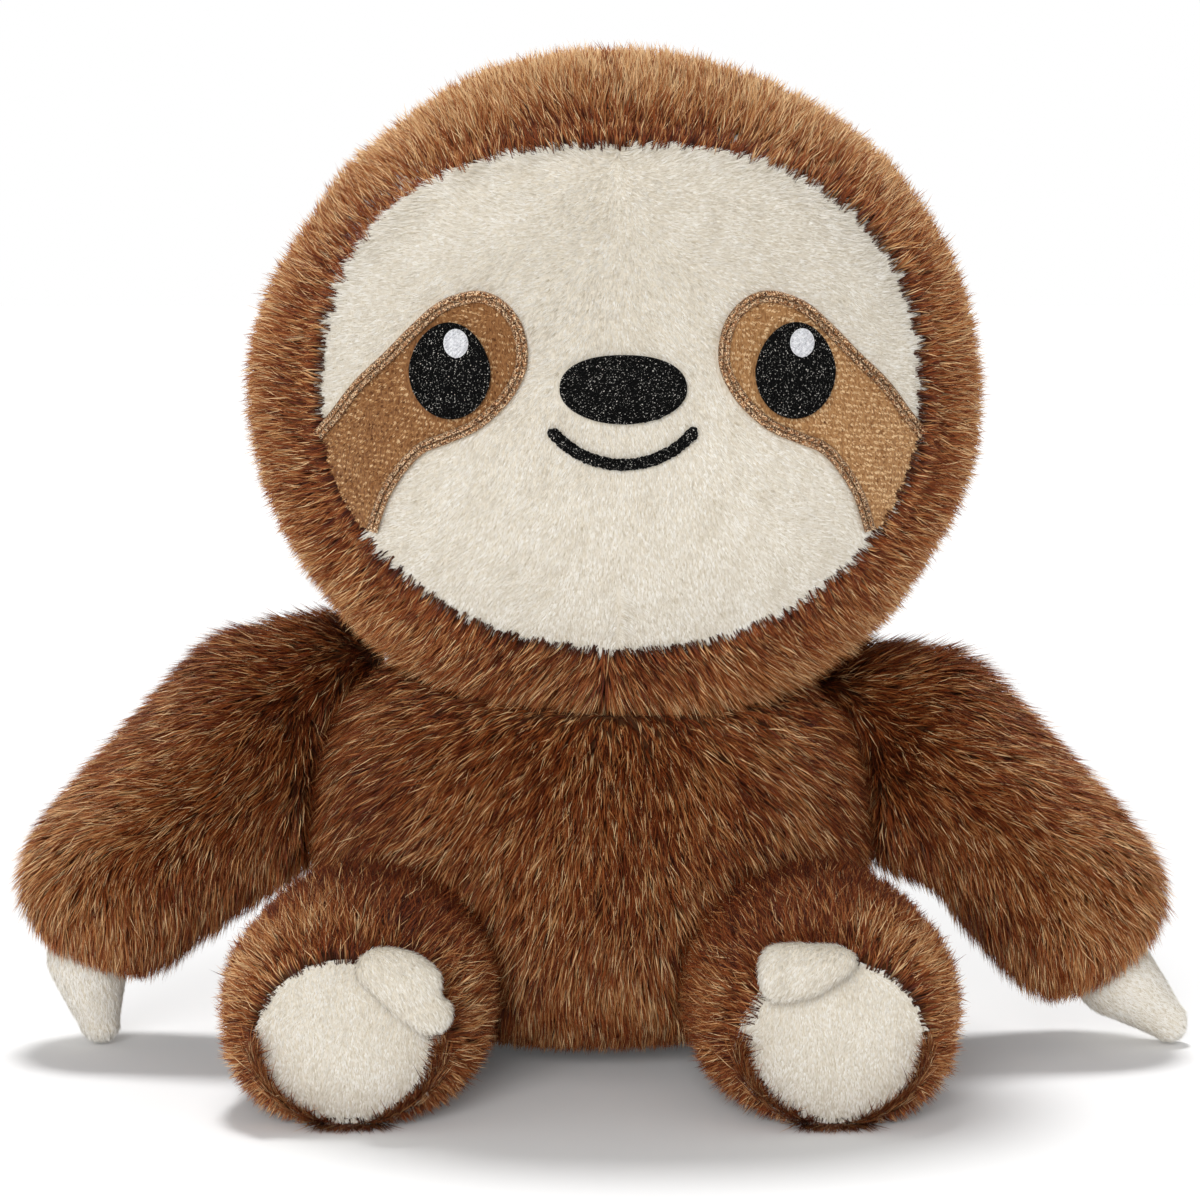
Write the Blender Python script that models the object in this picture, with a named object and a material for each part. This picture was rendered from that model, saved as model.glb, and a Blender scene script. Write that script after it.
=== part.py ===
"""A plush sloth that sits with its arms at its sides: covers, stuffing, applique and embroidery.

Left and right are the sloth's own: its left is +X. It faces -Y, and it sits on the plane Z = 0.
Every length is in metres. The long fur counts as part of each cover's wall.
"""

import math

import bmesh
import bpy
import numpy as np

# Fabric and fits
COVER_WALL = 0.006
FIT_GAP = 0.0003
STUFFING_GAP = 0.0005
JOINT_GAP = 0.0006
FLOOR_CUT = 0.0005
WELD = 0.00001
SHARP_ANGLE = math.radians(50)

# Body
BODY_HALF_WIDTH = 0.0705
BODY_FRONT_DEPTH = 0.056
BODY_BACK_DEPTH = 0.046
BODY_SEAM_Y = 0.006
BODY_WAIST_Z = 0.048
BODY_TOP_Z = 0.118
BODY_LOWER_POWER = 2.5
BODY_UPPER_POWER = 2.4

# Head
HEAD_SHIFT_X = 0.0065
HEAD_SHIFT_Y = -0.008
HEAD_CENTRE_Z = 0.166
HEAD_HALF_WIDTH = 0.0895
HEAD_HALF_HEIGHT = 0.0835
HEAD_FRONT_DEPTH = 0.066
HEAD_BACK_DEPTH = 0.070
HEAD_TURN = math.radians(1.0)
HEAD_FILL_GAP = 0.0012
NECK_SIDE_ROOM = 0.003
NECK_FRONT_ROOM = 0.007

# Face panel
FACE_HALF_WIDTH = 0.071
FACE_HALF_HEIGHT = 0.0596
FACE_RISE = 0.001
FACE_UPPER_POWER = 2.4
FACE_LOWER_POWER = 2.07
FACE_RECESS = 0.002
FACE_THICKNESS = 0.004

# Eye patches: the outer edge of the stitched border, as shares of the face's half sizes
PATCH_EDGE_SHARES = (
    (0.966, -0.030), (0.888, 0.092), (0.790, 0.205), (0.690, 0.326), (0.603, 0.413),
    (0.493, 0.458), (0.409, 0.437), (0.342, 0.361), (0.312, 0.260), (0.314, 0.159),
    (0.349, 0.067), (0.400, -0.010), (0.479, -0.089), (0.578, -0.143), (0.655, -0.185),
    (0.716, -0.265), (0.768, -0.366), (0.800, -0.470), (0.812, -0.520),
)
PATCH_RIM_SHARE = 0.985
PATCH_MIDDLE_SHARES = (0.82, -0.07)
PATCH_THICKNESS = 0.0008
BORDER_WIDTH = 0.0029
BORDER_THICKNESS = 0.0011

# Eyes, nose and mouth
EYE_X = 0.0403
EYE_Z = 0.0087
EYE_HALF_WIDTH = 0.0096
EYE_HALF_HEIGHT = 0.0112
EYE_THICKNESS = 0.0008
HIGHLIGHT_HALF_WIDTH = 0.0029
HIGHLIGHT_HALF_HEIGHT = 0.0033
HIGHLIGHT_RISE = 0.0065
HIGHLIGHT_ASIDE = 0.0015
HIGHLIGHT_THICKNESS = 0.0005
NOSE_HALF_WIDTH = 0.0148
NOSE_HALF_HEIGHT = 0.0080
NOSE_Z = 0.0048
NOSE_POWER = 2.3
NOSE_THICKNESS = 0.0012
MOUTH_HALF_WIDTH = 0.0160
MOUTH_DROP = 0.0071
MOUTH_Z = -0.0127
MOUTH_LINE = 0.0028
MOUTH_THICKNESS = 0.0010

# Arms: the middle line from the shoulder to the hand, as shares of its reach, drop and radius
SHOULDER_X = 0.060
SHOULDER_Y = 0.019
SHOULDER_Z = {"left": 0.0858, "right": 0.0932}
SHOULDER_BALL = 0.015
ARM_SIDE_GAP = 0.0005
ARM_REACH = 0.0595
ARM_DROP = 0.0500
ARM_FORWARD = 0.010
ARM_RADIUS = 0.0243
ARM_LINE_SHARES = (
    (0.20, 0.06, 0.78), (0.39, 0.21, 0.955), (0.65, 0.53, 0.985), (0.87, 0.83, 1.01), (1.0, 1.0, 1.0),
)
ARM_STATIONS = 6
ARM_CAP_SHARE = 0.92
SLEEVE_OPEN_ANGLE = math.radians(40)
SLEEVE_END_ANGLE = math.radians(128)

# Hand claws: lean is the angle of the claw from straight down, away from the body
CLAW_BALL = 0.0098
CLAW_LENGTH = 0.0212
CLAW_TIP = 0.0040
CLAW_SINK = 0.0015
CLAW_SEAT_ANGLE = {"left": math.radians(33), "right": math.radians(18)}
CLAW_LEAN = {"left": math.radians(55), "right": math.radians(-14)}
CLAW_ROOT_ANGLE = math.radians(110)
CLAW_BEND = 0.0015

# Legs: rings from the hip to the sole, as shares of the leg's length, half width and half height
HIP_X = 0.0525
HIP_Y = -0.033
LEG_HALF_WIDTH = 0.0325
LEG_HALF_HEIGHT = 0.0275
LEG_LENGTH = 0.0535
LEG_SPLAY = 0.0048
LEG_OPEN_ANGLE = math.radians(35)
LEG_ROOT_ANGLE = math.radians(88)
HIP_LIFT = math.radians(13)
LEG_RING_SHARES = (
    (0.36, 0.975, 0.98), (0.52, 1.005, 1.0), (0.70, 0.985, 0.975), (0.86, 0.90, 0.90), (0.95, 0.795, 0.81),
)

# Soles and toes: the toe's middle line, as shares of the sole's half width, then of the toe's half width
SOLE_HALF_WIDTH = 0.0205
SOLE_HALF_HEIGHT = 0.0190
SOLE_THICKNESS = 0.0035
SOLE_DOME = 0.0030
SOLE_RIM = 0.0015
TOE_HALF_WIDTH = 0.0072
TOE_HALF_THICKNESS = 0.0042
TOE_GAP = 0.0003
TOE_LINE_SHARES = ((0.22, 0.86, 0.85), (0.60, 0.84, 1.0), (0.93, 0.54, 0.95), (1.02, 0.08, 0.72))
TOE_PIVOT_SHARE = 0.13

# Numbers of rows and columns in each mesh
HOOD_ROWS = 11
HOOD_COLUMNS = 17
FACE_ROWS = 6
FACE_COLUMNS = 32
BODY_ROWS = 11
BODY_COLUMNS = 13
LIMB_SIDES = 16
SMALL_SIDES = 12

# Plain colours, roughness last
FUR = (0.155, 0.052, 0.016, 0.9)
CREAM = (0.80, 0.72, 0.60, 0.9)
TAN = (0.40, 0.16, 0.06, 0.9)
BORDER_THREAD = (0.19, 0.075, 0.028, 0.5)
BLACK_THREAD = (0.012, 0.012, 0.012, 0.55)
WHITE_THREAD = (0.82, 0.82, 0.84, 0.5)
FIBRE = (0.85, 0.85, 0.83, 0.95)

SIDES = {"left": 1.0, "right": -1.0}


def clear_scene():
    """Remove every object, mesh and material that is already there."""
    for item in list(bpy.data.objects):
        bpy.data.objects.remove(item, do_unlink=True)


def material(name, finish):
    """A plain finish: three parts of colour, then the roughness."""
    made = bpy.data.materials.new(name)
    made.use_nodes = True
    shader = made.node_tree.nodes["Principled BSDF"]
    shader.inputs["Base Color"].default_value = (*finish[:3], 1.0)
    shader.inputs["Roughness"].default_value = finish[3]
    shader.inputs["Metallic"].default_value = 0.0
    made.diffuse_color = (*finish[:3], 1.0)
    return made


def place(name, parent=None, location=(0, 0, 0), rotation=(0, 0, 0)):
    """An empty on a joint's axis, which the pieces that turn there hang from."""
    empty = bpy.data.objects.new(name, None)
    empty.location = location
    empty.rotation_euler = rotation
    empty.parent = parent
    bpy.context.scene.collection.objects.link(empty)
    return empty


def add_piece(name, points, faces, finish, parent=None):
    """One closed mesh object, with its doubled points merged and its faces turned outwards."""
    work = bmesh.new()
    corners = [work.verts.new(point) for point in points]
    for face in faces:
        work.faces.new([corners[i] for i in face])
    bmesh.ops.remove_doubles(work, verts=work.verts, dist=WELD)
    bmesh.ops.dissolve_degenerate(work, edges=work.edges, dist=WELD)
    bmesh.ops.recalc_face_normals(work, faces=work.faces)
    mesh = bpy.data.meshes.new(name)
    work.to_mesh(mesh)
    work.free()
    mesh.shade_smooth()
    mesh.set_sharp_from_angle(angle=SHARP_ANGLE)
    mesh.materials.append(material(name, finish))
    piece = bpy.data.objects.new(name, mesh)
    piece.parent = parent
    bpy.context.scene.collection.objects.link(piece)
    return piece


def grid_faces(index, wrap):
    """Quads of a grid of point numbers, closed round its columns if wrap is set."""
    columns = index.shape[1]
    steps = columns if wrap else columns - 1
    faces = []
    for row in range(index.shape[0] - 1):
        for column in range(steps):
            after = (column + 1) % columns
            faces.append((index[row, column], index[row, after], index[row + 1, after], index[row + 1, column]))
    return faces


def add_shell(name, outer, inner, finish, parent=None, wrap=True, ends=(True, True)):
    """A wall between two grids of points; ends says which end rows are open edges, not poles."""
    count = outer.shape[0] * outer.shape[1]
    out = np.arange(count).reshape(outer.shape[:2])
    back = out + count
    faces = grid_faces(out, wrap) + grid_faces(back, wrap)
    for row, is_open in zip((0, -1), ends):
        if is_open:
            faces += grid_faces(np.stack([out[row], back[row]]), wrap)
    if not wrap:
        for column in (0, -1):
            faces += grid_faces(np.stack([out[:, column], back[:, column]]), False)
    points = np.concatenate([outer.reshape(-1, 3), inner.reshape(-1, 3)])
    return add_piece(name, points.tolist(), [tuple(int(i) for i in face) for face in faces], finish, parent)


def add_solid(name, rings, finish, parent=None):
    """A solid through rings of points, its two ends closed by a fan from their middles."""
    first = np.repeat(rings[:1].mean(axis=1, keepdims=True), rings.shape[1], axis=1)
    last = np.repeat(rings[-1:].mean(axis=1, keepdims=True), rings.shape[1], axis=1)
    closed = np.concatenate([first, rings, last])
    index = np.arange(closed.shape[0] * closed.shape[1]).reshape(closed.shape[:2])
    faces = [tuple(int(i) for i in face) for face in grid_faces(index, True)]
    return add_piece(name, closed.reshape(-1, 3).tolist(), faces, finish, parent)


def add_cutter(name, rings, parent=None):
    """A closed form that is only cut away from other pieces."""
    cutter = add_solid(name, rings, FIBRE, parent)
    cutter.hide_render = True
    cutter.display_type = "WIRE"
    return cutter


def cut(piece, cutters):
    """Take each cutter away from the piece."""
    for cutter in cutters:
        step = piece.modifiers.new(cutter.name, "BOOLEAN")
        step.operation = "DIFFERENCE"
        step.solver = "EXACT"
        step.object = cutter


def spread(start, end, count):
    """Evenly spaced values."""
    return np.linspace(start, end, count)


def power_wave(angle, power):
    """Cosine and sine of an angle, swollen from a circle's to those of a superellipse."""
    swell = 2.0 / power
    cosine = np.sign(np.cos(angle)) * np.abs(np.cos(angle)) ** swell
    sine = np.sign(np.sin(angle)) * np.abs(np.sin(angle)) ** swell
    return cosine, sine


def smooth_line(points, count):
    """A smooth line of count points through the given ones, each segment a cubic."""
    known = np.asarray(points, dtype=float)
    before = np.concatenate([2.0 * known[:1] - known[1:2], known[:-1]])
    after = np.concatenate([known[1:], 2.0 * known[-1:] - known[-2:-1]])
    slope = (after - before) / 2.0
    along = spread(0.0, len(known) - 1.0, count)
    start = np.minimum(along.astype(int), len(known) - 2)
    t = (along - start)[:, None]
    a, b = known[start], known[start + 1]
    return (
        a * (2.0 * t**3 - 3.0 * t**2 + 1.0)
        + b * (3.0 * t**2 - 2.0 * t**3)
        + slope[start] * (t**3 - 2.0 * t**2 + t)
        + slope[start + 1] * (t**3 - t**2)
    )


def ball(radius, rows, columns, centre=(0, 0, 0)):
    """Rings of a ball or, with three radii, of an ellipsoid, about the Z axis."""
    tilt = spread(-math.pi / 2, math.pi / 2, rows)[1:-1, None]
    turn = spread(0.0, 2.0 * math.pi, columns + 1)[None, :-1]
    wide = np.stack(
        [np.cos(tilt) * np.cos(turn), np.cos(tilt) * np.sin(turn), np.sin(tilt) + 0.0 * turn], axis=-1
    )
    return wide * np.asarray(radius) + np.asarray(centre)


def closed_ball(radius, rows, columns, centre=(0, 0, 0)):
    """The same rings with the two poles, so that nothing of the ball is cut off flat."""
    rings = ball(radius, rows, columns, centre)
    reach = np.zeros(3)
    reach[2] = np.broadcast_to(np.asarray(radius, dtype=float), (3,))[2]
    low = np.broadcast_to(np.asarray(centre) - reach, (1, columns, 3))
    high = np.broadcast_to(np.asarray(centre) + reach, (1, columns, 3))
    return np.concatenate([low, rings, high])


def body_grid(inset, columns, start, end):
    """The body's form set in by a distance: ellipses that swell to the waist, flat on the floor."""
    lower = BODY_WAIST_Z + FLOOR_CUT - inset
    upper = BODY_TOP_Z - BODY_WAIST_Z - inset
    flat = -math.asin((BODY_WAIST_Z / (BODY_WAIST_Z + FLOOR_CUT)) ** (BODY_LOWER_POWER / 2.0))
    tilt = np.concatenate([[-math.pi / 2], spread(flat, 0.0, BODY_ROWS // 2), spread(0.0, math.pi / 2, BODY_ROWS)[1:]])
    turn = spread(start, end, columns)[None, :]
    low_wide, low_high = power_wave(tilt, BODY_LOWER_POWER)
    up_wide, up_high = power_wave(tilt, BODY_UPPER_POWER)
    wide = np.where(tilt < 0, low_wide, up_wide)[:, None]
    height = BODY_WAIST_Z + np.where(tilt < 0, low_high * lower, up_high * upper)
    depth = np.where(np.sin(turn) > 0, BODY_BACK_DEPTH, BODY_FRONT_DEPTH) - inset
    x = (BODY_HALF_WIDTH - inset) * wide * np.cos(turn)
    y = BODY_SEAM_Y + depth * wide * np.sin(turn)
    z = np.maximum(height, inset)[:, None] + 0.0 * turn
    return np.stack([x, y, z], axis=-1)


def build_body(cutters):
    """Front and back covers that meet at the side seams, round the body's stuffing."""
    halves = (("body_front_cover", math.pi, 2.0 * math.pi, -1.0), ("body_back_cover", 0.0, math.pi, 1.0))
    for name, start, end, way in halves:
        aside = np.array([0.0, way * FIT_GAP / 2.0, 0.0])
        outer = body_grid(0.0, BODY_COLUMNS, start, end) + aside
        inner = body_grid(COVER_WALL, BODY_COLUMNS, start, end) + aside
        cut(add_shell(name, outer, inner, FUR, wrap=False, ends=(False, False)), cutters)
    around = 2.0 * math.pi * (1.0 - 1.0 / (2.0 * BODY_COLUMNS))
    fill = add_solid("body_stuffing", body_grid(COVER_WALL + STUFFING_GAP, 2 * BODY_COLUMNS, 0.0, around), FIBRE)
    cut(fill, cutters)


def head_sizes(lift):
    """Half width, front depth, back depth and half height of the head, lifted off its form."""
    return (HEAD_HALF_WIDTH + lift, HEAD_FRONT_DEPTH + lift, HEAD_BACK_DEPTH + lift, HEAD_HALF_HEIGHT + lift)


def on_face(x, z, lift):
    """Points of the head's front at the given places across and up, lifted off the face panel."""
    wide, deep, _, high = head_sizes(lift - FACE_RECESS)
    y = -deep * np.sqrt(1.0 - (x / wide) ** 2 - (z / high) ** 2)
    return np.stack([x, y, z], axis=-1)


def face_outline(angle, room=0.0):
    """The opening of the hood: a superellipse, squarer above than below."""
    up_wide, up_high = power_wave(angle, FACE_UPPER_POWER)
    low_wide, low_high = power_wave(angle, FACE_LOWER_POWER)
    upper = np.sin(angle) > 0
    x = (FACE_HALF_WIDTH + room) * np.where(upper, up_wide, low_wide)
    z = FACE_RISE + (FACE_HALF_HEIGHT + room) * np.where(upper, up_high, low_high)
    return x, z


def hood_grid(angles, lift):
    """From the face opening round to the middle of the back, along arcs of the head's form."""
    wide, front, back, high = head_sizes(lift)
    x, z = face_outline(angles, FIT_GAP)
    unit = np.stack([x / wide, -np.sqrt(1.0 - (x / wide) ** 2 - (z / high) ** 2), z / high], axis=-1)
    pole = np.array([0.0, 1.0, 0.0])
    arc = np.arccos(unit @ pole)[None, :, None]
    t = spread(0.0, 1.0, HOOD_ROWS)[:, None, None]
    turned = (np.sin((1.0 - t) * arc) * unit[None] + np.sin(t * arc) * pole) / np.sin(arc)
    depth = np.where(turned[..., 1] > 0, back, front)
    return np.stack([turned[..., 0] * wide, turned[..., 1] * depth, turned[..., 2] * high], axis=-1)


def build_head(neck):
    """Two hood halves sewn along the middle, the face panel in their opening, and the stuffing."""
    for side, way in SIDES.items():
        angles = spread(math.pi / 2, -math.pi / 2, HOOD_COLUMNS)
        mirror = np.array([way, 1.0, 1.0])
        aside = np.array([way * FIT_GAP / 2.0, 0.0, 0.0])
        outer = hood_grid(angles, 0.0) * mirror + aside
        inner = hood_grid(angles, -COVER_WALL) * mirror + aside
        add_shell(f"head_cover_{side}", outer, inner, FUR, neck, wrap=False, ends=(True, False))
    around = spread(0.0, 2.0 * math.pi, FACE_COLUMNS + 1)[:-1]
    edge = np.stack(face_outline(around), axis=-1)
    add_patch("face_panel", (0.0, FACE_RISE), edge, (-FACE_THICKNESS, 0.0), FACE_ROWS, CREAM, neck)
    wide, front, back, high = head_sizes(-COVER_WALL - HEAD_FILL_GAP)
    fill = closed_ball((wide, front, high), HOOD_ROWS, LIMB_SIDES + SMALL_SIDES // 2)
    fill[..., 1] = np.where(fill[..., 1] > 0, fill[..., 1] * back / front, fill[..., 1])
    add_solid("head_stuffing", fill, FIBRE, neck)


def add_patch(name, middle, edge, lifts, rows, finish, parent):
    """A sheet on the face: rings from its middle out to its edge, between two lifts."""
    share = spread(0.0, 1.0, rows)[:, None, None]
    flat = np.asarray(middle) + share * (edge[None] - np.asarray(middle))
    low, high = (on_face(flat[..., 0], flat[..., 1], lift) for lift in lifts)
    return add_shell(name, high, low, finish, parent, ends=(False, True))


def add_band(name, middle, half_width, lifts, finish, parent):
    """A stitched line on the face: a strip along a middle line, of varying half width."""
    along = np.gradient(middle, axis=0)
    along /= np.linalg.norm(along, axis=1, keepdims=True)
    across = np.stack([-along[:, 1], along[:, 0]], axis=-1)
    share = spread(-1.0, 1.0, 3)[None, :, None]
    flat = middle[:, None] + share * across[:, None] * np.asarray(half_width)[:, None, None]
    low, high = (on_face(flat[..., 0], flat[..., 1], lift) for lift in lifts)
    return add_shell(name, high, low, finish, parent, wrap=False)


def inset_line(line, distance):
    """A line in the plane of the face, moved sideways, to the left of its own direction."""
    along = np.gradient(line, axis=0)
    along /= np.linalg.norm(along, axis=1, keepdims=True)
    return line + distance * np.stack([-along[:, 1], along[:, 0]], axis=-1)


def build_eye(side, way, neck):
    """An eye patch with its stitched border, the eye on it and the highlight on the eye."""
    mirror = np.array([way, 1.0])
    shares = np.array(PATCH_EDGE_SHARES) * (FACE_HALF_WIDTH, FACE_HALF_HEIGHT)
    line = smooth_line(shares, 2 * SMALL_SIDES)
    border = inset_line(line, BORDER_WIDTH / 2.0)
    lifts = (FIT_GAP, FIT_GAP + BORDER_THICKNESS)
    add_band(f"patch_border_{side}", border * mirror, np.full(len(line), BORDER_WIDTH / 2.0), lifts, BORDER_THREAD, neck)
    inner = inset_line(line, BORDER_WIDTH + FIT_GAP)[:-1]
    low, high = inner[-1, 1], inner[0, 1] - FIT_GAP
    level = spread(low, high, SMALL_SIDES // 2)[1:]
    rim = FACE_HALF_WIDTH * PATCH_RIM_SHARE
    power = np.where(level > FACE_RISE, FACE_UPPER_POWER, FACE_LOWER_POWER)
    reach = rim * (1.0 - np.abs((level - FACE_RISE) / FACE_HALF_HEIGHT) ** power) ** (1.0 / power)
    edge = np.concatenate([inner, np.stack([reach, level], axis=-1)])
    lifts = (FIT_GAP, FIT_GAP + PATCH_THICKNESS)
    middle = np.array(PATCH_MIDDLE_SHARES) * (FACE_HALF_WIDTH, FACE_HALF_HEIGHT) * mirror
    add_patch(f"eye_patch_{side}", middle, edge * mirror, lifts, FACE_ROWS, TAN, neck)
    middle = np.array([EYE_X, EYE_Z]) * mirror
    top = lifts[1] + FIT_GAP
    around = spread(0.0, 2.0 * math.pi, 2 * SMALL_SIDES + 1)[:-1]
    ring = np.stack([np.cos(around), np.sin(around)], axis=-1)
    edge = middle + ring * (EYE_HALF_WIDTH, EYE_HALF_HEIGHT)
    add_patch(f"eye_{side}", middle, edge, (top, top + EYE_THICKNESS), 4, BLACK_THREAD, neck)
    top += EYE_THICKNESS + FIT_GAP
    spot = middle + (HIGHLIGHT_ASIDE, HIGHLIGHT_RISE)
    edge = spot + ring[::2] * (HIGHLIGHT_HALF_WIDTH, HIGHLIGHT_HALF_HEIGHT)
    lifts = (top, top + HIGHLIGHT_THICKNESS)
    add_patch(f"eye_highlight_{side}", spot, edge, lifts, 3, WHITE_THREAD, neck)


def build_features(neck):
    """The nose, a filled oval, and the mouth, one arc of satin stitch with round ends."""
    around = spread(0.0, 2.0 * math.pi, 2 * SMALL_SIDES + 1)[:-1]
    wide, high = power_wave(around, NOSE_POWER)
    middle = np.array([0.0, NOSE_Z])
    edge = middle + np.stack([wide * NOSE_HALF_WIDTH, high * NOSE_HALF_HEIGHT], axis=-1)
    lifts = (FIT_GAP, FIT_GAP + NOSE_THICKNESS)
    add_patch("nose", middle, edge, lifts, 4, BLACK_THREAD, neck)
    radius = (MOUTH_HALF_WIDTH**2 + MOUTH_DROP**2) / (2.0 * MOUTH_DROP)
    reach = math.asin(MOUTH_HALF_WIDTH / radius)
    run = spread(-1.0, 1.0, SMALL_SIDES + 5)
    swing = reach * np.sign(run) * np.abs(np.sin(run * math.pi / 2))
    arc = np.stack([radius * np.sin(swing), MOUTH_Z + radius * (1.0 - np.cos(swing))], axis=-1)
    from_end = (reach - np.abs(swing)) * radius
    rounded = np.sqrt(np.clip(1.0 - (1.0 - from_end / (MOUTH_LINE / 2.0)).clip(0.0) ** 2, 0.0, 1.0))
    lifts = (FIT_GAP, FIT_GAP + MOUTH_THICKNESS)
    add_band("mouth", arc, rounded * MOUTH_LINE / 2.0, lifts, BLACK_THREAD, neck)


def arm_line(count):
    """Points of an arm's middle line from the shoulder, with the arm's radius at each."""
    known = [
        (ARM_REACH * reach, -ARM_FORWARD * reach, -ARM_DROP * drop, ARM_RADIUS * wide)
        for reach, drop, wide in ARM_LINE_SHARES
    ]
    return smooth_line(known, count)


def arm_grid(inset, sides):
    """Rings of an arm: the ball in the body, then the sleeve, flat where it lies on the body."""
    turn = spread(0.0, 2.0 * math.pi, sides + 1)[:-1]
    angle = spread(SLEEVE_OPEN_ANGLE, SLEEVE_END_ANGLE, 4)[:, None]
    radius = SHOULDER_BALL - inset
    root = np.stack(
        [
            -radius * np.cos(angle) + 0.0 * turn,
            radius * np.sin(angle) * np.cos(turn),
            radius * np.sin(angle) * np.sin(turn),
        ],
        axis=-1,
    )
    line = arm_line(ARM_STATIONS)
    along = np.gradient(line[:, :3], axis=0)
    along /= np.linalg.norm(along, axis=1, keepdims=True)
    across = np.array([0.0, 1.0, 0.0])
    up = np.cross(along, across)
    up *= np.sign(up[:, 2:3])
    reach = line[:, 3:4] - inset
    cap = spread(0.0, math.pi / 2, 5)[1:-1]
    centres = np.concatenate([line[:, :3], line[-1, :3] + along[-1] * reach[-1] * ARM_CAP_SHARE * np.sin(cap)[:, None]])
    reaches = np.concatenate([reach, reach[-1] * np.cos(cap)[:, None]])
    ups = np.concatenate([up, np.repeat(up[-1:], len(cap), axis=0)])
    ring = np.cos(turn)[None, :, None] * across + np.sin(turn)[None, :, None] * ups[:, None]
    sleeve = centres[:, None] + reaches[:, None] * ring
    side = BODY_HALF_WIDTH + ARM_SIDE_GAP - SHOULDER_X + inset
    sleeve[..., 0] = np.maximum(sleeve[..., 0], side)
    tip = centres[-1:] + along[-1] * reach[-1] * ARM_CAP_SHARE * (1.0 - np.sin(cap[-1]))
    return np.concatenate([root, sleeve, np.repeat(tip[:, None], sides, axis=1)])


def wrist_place(side):
    """Where a claw's ball sits, from the shoulder, before the arm is mirrored."""
    line = arm_line(ARM_STATIONS)
    depth = line[-1, 3] - CLAW_SINK
    seat = CLAW_SEAT_ANGLE[side]
    return line[-1, :3] + depth * np.array([math.sin(seat), 0.0, -math.cos(seat)])


def build_arm(side, way, shoulder):
    """A sleeve with its stuffing, and the claw whose ball sits in the end of the hand."""
    mirror = np.array([way, 1.0, 1.0])
    wrist_at = wrist_place(side) * mirror
    wrist = place(f"wrist_{side}", shoulder, wrist_at, (0.0, -way * CLAW_LEAN[side], 0.0))
    socket = add_cutter(
        f"claw_socket_{side}", closed_ball(CLAW_BALL + JOINT_GAP, LIMB_SIDES, 2 * SMALL_SIDES), wrist
    )
    outer = arm_grid(0.0, LIMB_SIDES) * mirror
    inner = arm_grid(COVER_WALL, LIMB_SIDES) * mirror
    cover = add_shell(f"arm_cover_{side}", outer, inner, FUR, shoulder, ends=(True, False))
    fill = arm_grid(COVER_WALL + STUFFING_GAP, LIMB_SIDES)[:-1] * mirror
    stuffing = add_solid(f"arm_stuffing_{side}", fill, FIBRE, shoulder)
    for piece in (cover, stuffing):
        cut(piece, [socket])
    add_solid(f"hand_claw_{side}", claw_rings() * mirror, CREAM, wrist)


def claw_rings():
    """Rings of a claw that points down: a ball at its root, then a taper to a blunt tip."""
    turn = spread(0.0, 2.0 * math.pi, SMALL_SIDES + 1)[:-1]
    angle = spread(0.0, CLAW_ROOT_ANGLE, 6)
    height = CLAW_BALL * np.cos(angle)
    radius = CLAW_BALL * np.sin(angle)
    end = np.array([[height[-1], radius[-1]], [CLAW_TIP - CLAW_LENGTH, CLAW_TIP]])
    taper = spread(0.0, 1.0, 5)[1:, None]
    side = end[0] + taper * (end[1] - end[0])
    cap = spread(0.0, math.pi / 2, 4)[1:]
    height = np.concatenate([height, side[:, 0], CLAW_TIP - CLAW_LENGTH - CLAW_TIP * np.sin(cap)])
    radius = np.concatenate([radius, side[:, 1], CLAW_TIP * np.cos(cap)])
    bend = -CLAW_BEND * (height.clip(None, 0.0) / CLAW_LENGTH) ** 2
    x = bend[:, None] + radius[:, None] * np.cos(turn)
    y = radius[:, None] * np.sin(turn)
    return np.stack([x, y, height[:, None] + 0.0 * turn], axis=-1)


def sole_rise():
    """Height of the sole's middle above the hip's: it stands a rim's width above the leg's underside."""
    return SOLE_HALF_HEIGHT + FIT_GAP + SOLE_RIM - LEG_HALF_HEIGHT


def leg_stations(inset, end, room):
    """Rings in front of the hip's ball: distance, half width, half height, rise and splay of each."""
    outside = np.array(LEG_RING_SHARES) * (LEG_LENGTH, LEG_HALF_WIDTH, LEG_HALF_HEIGHT)
    opening = np.array([SOLE_HALF_WIDTH, SOLE_HALF_HEIGHT]) + FIT_GAP + room
    size = np.maximum(outside[:, 1:] - inset, opening)
    rise = outside[:, 2:] - LEG_HALF_HEIGHT
    splay = LEG_SPLAY * outside[:, :1] / LEG_LENGTH
    rows = np.concatenate([outside[:, :1], size, rise, splay], axis=1)
    last = np.array([[end, *opening, sole_rise(), LEG_SPLAY]])
    if inset:
        rows[-1] = (LEG_LENGTH - COVER_WALL, *last[0, 1:])
    return np.concatenate([rows, last])


def leg_grid(inset, sides, end, room):
    """Rings of a leg, from the opening behind its ball to the opening that holds the sole."""
    turn = (spread(0.0, 2.0 * math.pi, sides + 1)[:-1] + math.pi / sides)[None, :]
    angle = spread(LEG_OPEN_ANGLE, LEG_ROOT_ANGLE, 6)
    wide = (LEG_HALF_WIDTH - inset) * np.sin(angle)
    high = (LEG_HALF_HEIGHT - inset) * np.sin(angle)
    far = -(LEG_HALF_HEIGHT - inset) * np.cos(angle)
    splay = LEG_SPLAY * (far / LEG_LENGTH).clip(0.0)
    root = np.stack([far, wide, high, 0.0 * angle, splay], axis=-1)
    rows = np.concatenate([root, leg_stations(inset, end, room)])
    far, wide, high, rise, splay = (rows[:, k : k + 1] for k in range(5))
    floor = FLOOR_CUT - LEG_HALF_HEIGHT
    z = rise + high * np.sin(turn)
    z = np.where(z < floor + FIT_GAP, floor, z)
    return np.stack([splay + wide * np.cos(turn), -far + 0.0 * turn, z], axis=-1)


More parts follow.
